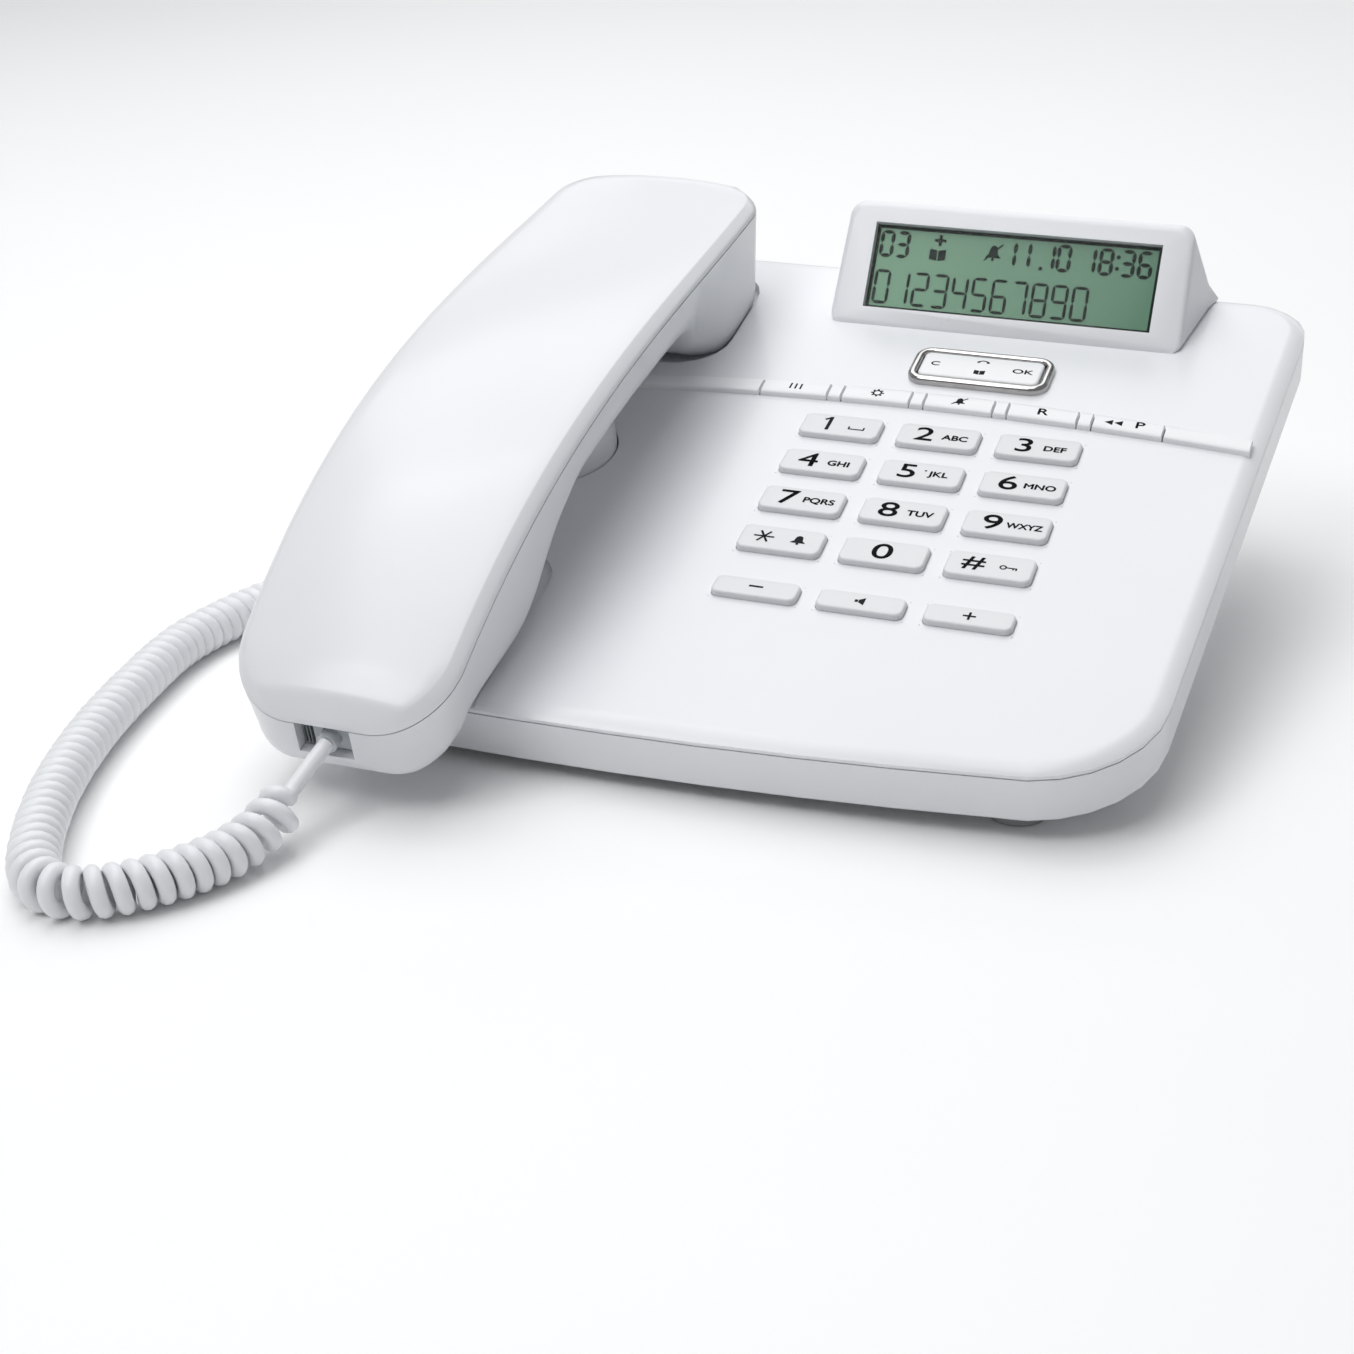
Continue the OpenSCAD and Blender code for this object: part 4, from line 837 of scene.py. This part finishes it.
def star_sign(s):
    return [bar(-s * math.cos(a), -s * math.sin(a), s * math.cos(a), s * math.sin(a), 0.22 * s)
            for a in (math.radians(d) for d in (0, 60, 120))]


def one_sign():
    """The digit one, with the short flag that the plain letter shape lacks."""
    half = DIGIT_H / 2
    return [bar(0.35, -half, 0.35, half, 0.78), bar(-0.95, half - 1.25, 0.35, half - 0.3, 0.62)]


def space_sign(s):
    return [bar(-s, -0.3 * s, s, -0.3 * s, 0.2 * s), bar(-0.93 * s, -0.3 * s, -0.93 * s, 0.25 * s, 0.2 * s),
            bar(0.93 * s, -0.3 * s, 0.93 * s, 0.25 * s, 0.2 * s)]


def handset_sign(s):
    bow = arc(0, -0.9 * s, 1.15 * s, 35, 145, 10)
    cups = [bar(side * 0.98 * s, -0.42 * s, side * 0.7 * s, -0.05 * s, 0.5 * s) for side in (-1, 1)]
    return [bar(*bow[i], *bow[i + 1], 0.26 * s) for i in range(10)] + cups


def book_sign(s):
    return [[(-s, -0.62 * s), (-0.06 * s, -0.8 * s), (-0.06 * s, 0.5 * s), (-s, 0.68 * s)],
            [(0.06 * s, -0.8 * s), (s, -0.62 * s), (s, 0.68 * s), (0.06 * s, 0.5 * s)]]


def gear_sign(s):
    teeth = []
    for i in range(8):
        a = math.radians(45 * i)
        x, y = s * math.cos(a), s * math.sin(a)
        teeth.append(bar(0.62 * x, 0.62 * y, x, y, 0.3 * s))
    return ring_bars(0, 0, 0.6 * s, 0.26 * s) + teeth


def back_arrows(s):
    return [[(-s, 0), (-0.1 * s, -0.5 * s), (-0.1 * s, 0.5 * s)],
            [(0.05 * s, 0), (0.95 * s, -0.5 * s), (0.95 * s, 0.5 * s)]]


KEY_LETTERS = {"key_2": "ABC", "key_3": "DEF", "key_4": "GHI", "key_5": "JKL", "key_6": "MNO",
               "key_7": "PQRS", "key_8": "TUV", "key_9": "WXYZ"}
DIGIT_H, LETTER_H = 5.5, 2.0
DIGIT_BOLD, LETTER_BOLD = 0.07, 0.09
LETTERS_WIDE, FOUR_WIDE_LETTERS = 1.05, 0.9
LEGEND_LIFT, FLAT_LIFT = 0.01, 0.004


KEY_SIGNS = {
    "key_1": [(one_sign(), -3.2, 4.5), (space_sign(1.8), 3.6, 3.6)],
    "key_0": [(("0", DIGIT_H, 1.25, DIGIT_BOLD), -0.4, 4.4)],
    "key_star": [(star_sign(2.2), -3.8, 4.4), (bell(1.65), 3.7, 4.4)],
    "key_hash": [(("#", 4.6, 1.25, 0.08), -3.4, 4.4), (key_sign(1.6), 3.9, 4.2)],
    "key_quieter": [([bar(-1.5, 0, 1.5, 0, 0.55)], 0, 3.3)],
    "key_speaker": [(speaker_sign(1.35), 0, 3.1)],
    "key_louder": [([bar(-1.3, 0, 1.3, 0, 0.5), bar(0, -1.3, 0, 1.3, 0.5)], 0, 3.1)]}


def key_signs(name):
    """The signs on a key, each with its place across and up the key."""
    if name not in KEY_LETTERS:
        return KEY_SIGNS[name]
    wide = FOUR_WIDE_LETTERS if name == "key_9" else LETTERS_WIDE
    signs = [((name[-1], DIGIT_H, 1.2, DIGIT_BOLD), -3.1, 4.5),
             ((KEY_LETTERS[name], LETTER_H, wide, LETTER_BOLD), 3.7, 4.0)]
    if name == "key_5":
        signs.append(([disc(0, 0, 0.26, 12)], 0.8, 5.3))
    return signs


def add_sign(name, sign, body, x, y, lift, slope=0, place=PANEL):
    """Prints a sign on a key: a list of outlines, or a text with its height, width and boldness."""
    mesh = letters(*sign) if isinstance(sign, tuple) else flat_shapes(sign)
    print_on(mesh, x, y, lift, slope, place)
    finish_piece(new_object(name, mesh), body, ink)


def make_keys():
    caps = {}
    for name, x, y, depth in key_places():
        if depth not in caps:
            caps[depth] = key_cap("key_cap", depth)
        place = PANEL @ Matrix.Translation((x, y, 0))
        cap = new_object(f"{name}_cap", caps[depth].data.copy())
        cap.data.transform(place)
        cap.data.update()
        body = f"{name}_body"
        finish_piece(cap, body, key_white, [name])
        window_collar(f"{name}_collar", x, y, depth)
        for i, (sign, sx, sy) in enumerate(key_signs(name)):
            add_sign(f"{name}_legend_{i}", sign, body, sx, sy, KEY_H + LEGEND_LIFT, -KEY_FALL / depth, place)
    for cap in caps.values():
        bpy.data.objects.remove(cap)


make_keys()

# ---------------- function strip

STRIP_HALF, STRIP_H, STRIP_END = 85.0, 1.5, 0.15
BOW_R, BOW_X, BOW_Y = 594, 12.5, 15.7
STRIP_D, STRIP_NARROWS = 5.5, 1.6
FN_X, FN_PITCH, FN_W, GAP = 20.6, 18.9, 15.3, 0.35
STRIP_LIP_FROM, STRIP_LIP_TO, STRIP_LIP_NEAR, STRIP_LIP_FAR = -30, 80, 0.05, 2.4


def strip_front(x):
    """The bowed front line of the strip."""
    return BOW_Y - BOW_R + math.sqrt(BOW_R ** 2 - (x - BOW_X) ** 2)


def strip_depth(x):
    return STRIP_D - STRIP_NARROWS * (abs(x - FN_X) / STRIP_HALF) ** 2


def strip_piece(name, x0, x1, bottom):
    """A stretch of the bowed strip with rolled edges."""
    columns = max(3, round((x1 - x0) / 3))
    roll = [(0, 0.55), (0.08, 0.68), (0.22, 0.79), (0.45, 0.88), (0.8, 0.95), (1.3, 1.0)]

    def ring(inset, z):
        end = min(inset, STRIP_END)
        places = [x0 + end + (x1 - x0 - 2 * end) * i / columns for i in range(columns + 1)]
        front = [(x, strip_front(x) + inset, z) for x in places]
        rear = [(x, strip_front(x) + strip_depth(x) - inset, z) for x in reversed(places)]
        return front + rear

    rings = [ring(0, bottom)] + [ring(inset, STRIP_H * share) for inset, share in roll]
    points, faces = stack(rings)
    count = len(rings[0])
    last = (len(rings) - 1) * count
    faces.pop()
    for i in range(count // 2 - 1):
        faces.append((last + i, last + i + 1, last + count - 2 - i, last + count - 1 - i))
    return mesh_piece(name, points, faces, sharp=50)


def strip_lip(name, near, far):
    """Thin lip of the base between two distances from the strip: below zero in front of it, else behind."""
    count = 60
    places = [STRIP_LIP_FROM + (STRIP_LIP_TO - STRIP_LIP_FROM) * i / count for i in range(count + 1)]

    def edge(x, away):
        return strip_front(x) + away if away < 0 else strip_front(x) + strip_depth(x) + away

    def ring(z):
        return [(x, edge(x, near), z) for x in places] + [(x, edge(x, far), z) for x in reversed(places)]

    points, faces = stack([ring(-0.5), ring(LIP_H)])
    sides = faces[1:-1]
    caps = []
    for start in (0, 2 * (count + 1)):
        last = start + 2 * count + 1
        caps += [(start + i, start + i + 1, last - i - 1, last - i) for i in range(count)]
    finish_piece(mesh_piece(name, points, sides + caps, sharp=50), "base", white)


FUNCTION_SIGNS = {
    "menu": [([bar(x, -1.1, x, 1.1, 0.4) for x in (-1.2, 0, 1.2)], 0)],
    "settings": [(gear_sign(1.5), 0)],
    "mute": [(bell(1.35) + [bar(-1.6, -1.3, 1.6, 1.4, 0.3)], 0)],
    "recall": [(("R", 2.5, 1.2, 0.08), 0)],
    "redial": [(back_arrows(2.0), -3.2), (("P", 2.5, 1.2, 0.08), 2.6)]}


def make_strip():
    strip_lip("strip_front_lip", -STRIP_LIP_FAR, -STRIP_LIP_NEAR)
    strip_lip("strip_back_lip", STRIP_LIP_NEAR, STRIP_LIP_FAR)
    edge = FN_W / 2 + GAP
    gaps = [FN_X + (i - 2) * FN_PITCH + side * edge for i in range(5) for side in (-1, 1)]
    breaks = [-STRIP_HALF] + gaps + [STRIP_HALF]
    for i in range(6):
        stretch = strip_piece(f"strip_stretch_{i}", breaks[2 * i], breaks[2 * i + 1], -0.5)
        finish_piece(stretch, "base", strip_white, ["function_strip"])
    for i, (name, signs) in enumerate(FUNCTION_SIGNS.items()):
        x = FN_X + (i - 2) * FN_PITCH
        body = f"function_key_{name}_body"
        cap = strip_piece(f"function_key_{name}_cap", x - FN_W / 2, x + FN_W / 2, SKIRT_Z)
        finish_piece(cap, body, strip_white, [f"function_key_{name}"])
        middle = strip_front(x) + strip_depth(x) / 2
        for k, (sign, sx) in enumerate(signs):
            add_sign(f"function_{name}_legend_{k}", sign, body, x + sx, middle, STRIP_H + FLAT_LIFT)


make_strip()

# ---------------- navigation key

NAV_X, NAV_Y, NAV_W, NAV_D, NAV_H, NAV_R = 21.9, 33.0, 32.3, 14.3, 1.8, 4.0
NAV_RIM, NAV_KEY_H, NAV_KEY_R = 2.35, 1.6, 1.5


def make_nav():
    def ring(grow, z, w=NAV_W, d=NAV_D, r=NAV_R):
        outline = round_rect(w - 2 * grow, d - 2 * grow, max(r - grow, 0.3), 8)
        return [(x + NAV_X, y + NAV_Y, z) for x, y in outline]

    outer = [(0, -0.4), (0, 0.75), (0.06, 1.1), (0.22, 1.4), (0.5, 1.65), (0.85, 1.78), (1.15, NAV_H),
             (1.5, 1.76), (1.78, 1.6), (1.93, 1.35), (2.0, 1.0), (2.0, -0.4)]
    rim = mesh_piece("nav_bright_rim", *closed_band([ring(grow, z) for grow, z in outer]), sharp=50)
    finish_piece(rim, "base", chrome, ["nav_rim"])

    w, d = NAV_W - 2 * NAV_RIM, NAV_D - 2 * NAV_RIM
    rolled = [(0, -0.6), (0, 1.15), (0.07, 1.33), (0.22, 1.47), (0.45, 1.56), (0.8, NAV_KEY_H)]
    cap = mesh_piece("nav_key_cap", *stack([ring(grow, z, w, d, NAV_KEY_R) for grow, z in rolled]), sharp=50)
    finish_piece(cap, "nav_key_body", strip_white, ["nav_key"])
    signs = [(("C", 1.7, 1.3, 0.06), -10.6, 0), (("OK", 1.8, 1.3, 0.06), 9.6, 0),
             (handset_sign(1.3), 0, 2.6), (book_sign(1.25), 0, -2.0)]
    for i, (sign, sx, sy) in enumerate(signs):
        add_sign(f"nav_legend_{i}", sign, "nav_key_body", NAV_X + sx, NAV_Y + sy, NAV_KEY_H + FLAT_LIFT)


make_nav()

# ---------------- display

HOOD_X, HOOD_Y, HOOD_H, HOOD_W = 22.3, 49.5, 20.6, 82.4
SPLAY, LEAN = math.radians(9.5), math.radians(11.4)
RIDGE_UP, RIDGE_BACK, BEHIND_RIDGE = 1.2, 1.3, 6.4
HOOD_TOP_R, HOOD_FOOT_R = 4.0, 2.4
CAVITY_HALF_W, CAVITY_HALF_H, CAVITY_Z = 36.4, 11.5, -6.6
FACE_LEN = HOOD_H / math.sin(math.radians(45))
WINDOW_W, WINDOW_H, WINDOW_MID = 67.4, 20.4, FACE_LEN / 2 + 0.1
FACE = PANEL @ Matrix.Translation((HOOD_X, HOOD_Y, 0)) @ Matrix.Rotation(math.radians(45), 4, "X")
SCREEN_Z, PRINT_LIFT, BORDER_T = -2.0, 0.02, 0.8
SEGMENTS = {"0": "abcdef", "1": "bc", "2": "abged", "3": "abgcd", "4": "fgbc", "5": "afgcd", "6": "afgedc",
            "7": "abc", "8": "abcdefg", "9": "abcdfg"}
POINTED = 0.6  # of half a segment's thickness, how far its pointed ends reach
TOP_ROW = [(-32.2, "0"), (-28.4, "3"), (-2.7, "1"), (0.7, "1"), (6.4, "1"), (10.1, "0"), (15.9, "1"),
           (19.9, "8"), (24.9, "3"), (28.9, "6")]


def segment_digit(x, y, w, h, t, digit):
    """Seven-segment outlines of a digit whose lower left corner is at (x, y)."""
    g, m = t * 0.3, h / 2
    lines = {"a": (x + g, y + h, x + w - g, y + h), "b": (x + w, y + h - g, x + w, y + m + g),
             "c": (x + w, y + m - g, x + w, y + g), "d": (x + g, y, x + w - g, y),
             "e": (x, y + m - g, x, y + g), "f": (x, y + h - g, x, y + m + g),
             "g": (x + g, y + m, x + w - g, y + m)}
    outlines = []
    for name in SEGMENTS[digit]:
        start, end = Vector(lines[name][:2]), Vector(lines[name][2:])
        run = (end - start).normalized() * t / 2
        side = Vector((-run.y, run.x))
        outlines.append([start - run * POINTED, start + run - side, end - run - side,
                         end + run * POINTED, end - run + side, start + run + side])
    return outlines


def screen_rows():
    """The rows of the display: a count, date and time above, and a neutral run of digits below."""
    shapes = []
    for x, digit in TOP_ROW:
        shapes += segment_digit(x, 2.9, 2.6, 5.7, 0.95, digit)
    shapes.append(disc(6.3, 2.9, 0.5, 10))
    shapes += [disc(23.9, 4.4, 0.5, 10), disc(23.9, 7.1, 0.5, 10)]
    shapes += [bar(-19.6, 7.5, -16.8, 7.5, 0.75), bar(-18.2, 6.2, -18.2, 8.8, 0.75)]
    shapes += [[(x - 18.4, y + 4.1) for x, y in outline] for outline in book_sign(1.95)]
    shapes += [[(x - 5.2, y + 5.6) for x, y in outline] for outline in bell(1.9)]
    shapes.append(bar(-7.2, 3.7, -3.2, 7.8, 0.4))
    for i, digit in enumerate("01234567890"):
        shapes += segment_digit(-32.2 + 4.72 * i, -8.5, 3.2, 7.6, 0.75, digit)
    return shapes


def make_hood():
    """The display housing: sections parallel to its face, which shrink towards the back foot."""
    splay, lean = math.tan(SPLAY), math.tan(LEAN) / math.cos(SPLAY)
    slope = math.sqrt(0.5)
    ridge_up = FACE_LEN + RIDGE_UP
    foot_back = (HOOD_H + BEHIND_RIDGE) * slope

    def ring(back, inset):
        share = max(0.0, (back - RIDGE_BACK) / (foot_back - RIDGE_BACK))
        top = ridge_up + (foot_back - ridge_up) * share - max(0.0, RIDGE_BACK - back) * 0.9 - inset
        low = max(back - 0.1, 0.0) - 0.3
        top_r = min(HOOD_TOP_R, max((top - low) * 0.45, 0.05))
        foot_r = min(HOOD_FOOT_R, (top - low) * 0.3)

        def side(up):
            return HOOD_W / 2 - inset + up * slope * (splay - lean) + back * slope * (splay + lean)

        outline = [(0, low)]
        outline += [(side(low) - foot_r + x, low + foot_r + y) for x, y in arc(0, 0, foot_r, -90, 0, 6)]
        outline += [(side(top) - top_r + x, top - top_r + y) for x, y in arc(0, 0, top_r, 0, 90, 9)]
        outline += [(-x, y) for x, y in reversed(outline[1:])]
        return [(x, y, -back) for x, y in outline]

    depths = [(0, 1.1), (0.08, 0.62), (0.32, 0.25), (0.7, 0.06), (RIDGE_BACK, 0)]
    depths += [(RIDGE_BACK + (foot_back - 1.5) * i / 12, 0) for i in range(1, 13)]
    sections = [ring(back, inset) for back, inset in depths]
    hood = mesh_piece("display_housing", *stack(sections), FACE, sharp=40)
    half_w, half_h = WINDOW_W / 2 + 0.1, WINDOW_H / 2 + 0.1
    window = box_piece("cut_window", (-half_w, WINDOW_MID - half_h, -3),
                       (half_w, WINDOW_MID + half_h, 2), FACE)
    cavity = box_piece("cut_cavity", (-CAVITY_HALF_W, WINDOW_MID - CAVITY_HALF_H, CAVITY_Z),
                       (CAVITY_HALF_W, WINDOW_MID + CAVITY_HALF_H, SCREEN_Z), FACE)
    cut(hood, window, cavity)
    finish_piece(hood, "base", white, ["display_hood"])


def make_display():
    make_hood()
    marks = flat_shapes(screen_rows())
    print_on(marks, 0, WINDOW_MID, SCREEN_Z + PRINT_LIFT, 0, FACE, 0.02)
    finish_piece(new_object("display_marks", marks), "base", segment_ink)
    w, h, t = WINDOW_W / 2, WINDOW_H / 2, BORDER_T
    edges = [rectangle(-w, -h, w, -h + t), rectangle(-w, h - t, w, h),
             rectangle(-w, -h + t, -w + t, h - t), rectangle(w - t, -h + t, w, h - t)]
    border = flat_shapes(edges)
    print_on(border, 0, WINDOW_MID, SCREEN_Z + PRINT_LIFT, 0, FACE, 0.05)
    finish_piece(new_object("display_border", border), "base", frame_ink)


make_display()

# ---------------- carried-over CAD nodes


def shading_group():
    """Smooth shading but for edges sharper than 30 degrees."""
    group = bpy.data.node_groups.new("smooth shading", "GeometryNodeTree")
    group.interface.new_socket("Geometry", in_out="INPUT", socket_type="NodeSocketGeometry")
    group.interface.new_socket("Geometry", in_out="OUTPUT", socket_type="NodeSocketGeometry")
    start = group.nodes.new("NodeGroupInput")
    end = group.nodes.new("NodeGroupOutput")
    faces = group.nodes.new("GeometryNodeSetShadeSmooth")
    edges = group.nodes.new("GeometryNodeSetShadeSmooth")
    edges.domain = "EDGE"
    edges.inputs["Shade Smooth"].default_value = False
    angle = group.nodes.new("GeometryNodeInputMeshEdgeAngle")
    sharper = group.nodes.new("FunctionNodeCompare")
    sharper.operation = "GREATER_THAN"
    sharper.inputs["B"].default_value = math.radians(30)
    group.links.new(start.outputs[0], faces.inputs["Geometry"])
    group.links.new(faces.outputs[0], edges.inputs["Geometry"])
    group.links.new(angle.outputs["Unsigned Angle"], sharper.inputs["A"])
    group.links.new(sharper.outputs["Result"], edges.inputs["Selection"])
    group.links.new(edges.outputs[0], end.inputs[0])
    return group


smooth_group = shading_group()
SOFT_EDGES = {"base_top_shell": 0.35, "base_bottom_shell": 0.5, "hook_switch": 0.4,
              "rubber_feet": 0.5, "line_jack": 0.2, "cord_jack": 0.2, "display_lens": 0.15,
              "handset_plug": 0.2, "base_plug": 0.2}


def dress(name, piece, slots):
    weld = piece.modifiers.new("weld", "WELD")
    weld.merge_threshold = 0.000002
    if name in SOFT_EDGES:
        flat = piece.modifiers.new("merge flat faces", "DECIMATE")
        flat.decimate_type = "DISSOLVE"
        flat.angle_limit = math.radians(0.5)
        round_edges(piece, SOFT_EDGES[name], 3, 40)
    smooth = piece.modifiers.new("smooth shading", "NODES")
    smooth.node_group = smooth_group
    if name in SOFT_EDGES:
        even_shading(piece, 90)
    piece.data.materials.clear()
    piece.data.materials.append(SLOT_MATERIALS[slots[name]])


def dress_nodes():
    slots = {part["node"]: part["material_slot"] for part in frame["record"]["subparts"]}
    for name in sorted(nodes):
        piece = nodes[name]
        if piece.hide_render:
            continue
        dress(name, piece, slots)


dress_nodes()

# ---------------- floor and light


def make_floor():
    size = 6.0
    corners = [(x, y, 0) for x, y in rectangle(-size, -size, size, size)]
    floor = mesh_piece("floor", corners, [(0, 1, 2, 3)], AS_DRAWN)
    pale = ((0.955, 0.955, 0.955), (0.965, 0.965, 0.965))
    material, _, _ = varied_material("floor", pale, 3, (0.5, 0.6), 40)
    floor.data.materials.append(material)


def softbox(name, place, target, size, power):
    light = bpy.data.lights.new(name, "AREA")
    light.shape = "RECTANGLE"
    light.size, light.size_y = size
    light.energy = power
    lamp = bpy.data.objects.new(name, light)
    lamp.location = place
    lamp.rotation_mode = "QUATERNION"
    lamp.rotation_quaternion = (Vector(target) - Vector(place)).to_track_quat("-Z", "Y")
    bpy.context.scene.collection.objects.link(lamp)


def make_light():
    world = bpy.data.worlds.new("studio")
    world.use_nodes = True
    background = world.node_tree.nodes["Background"]
    background.inputs["Color"].default_value = (0.95, 0.965, 1.0, 1)
    background.inputs["Strength"].default_value = 0.28
    bpy.context.scene.world = world
    softbox("overhead", (-0.22, -0.06, 1.2), (0, 0, 0.03), (1.0, 0.9), 6.8)
    softbox("back_left", (-0.32, 0.62, 1.0), (0, 0, 0.03), (1.0, 0.7), 4.1)
    softbox("front_left", (-0.40, -0.70, 1.0), (0, -0.02, 0.02), (0.6, 0.4), 3.4)
    softbox("far_floor", (0, 2.2, 0.9), (0, 2.2, 0), (3.0, 1.6), 16.0)
    bpy.context.scene.view_settings.view_transform = "Standard"


make_floor()
make_light()
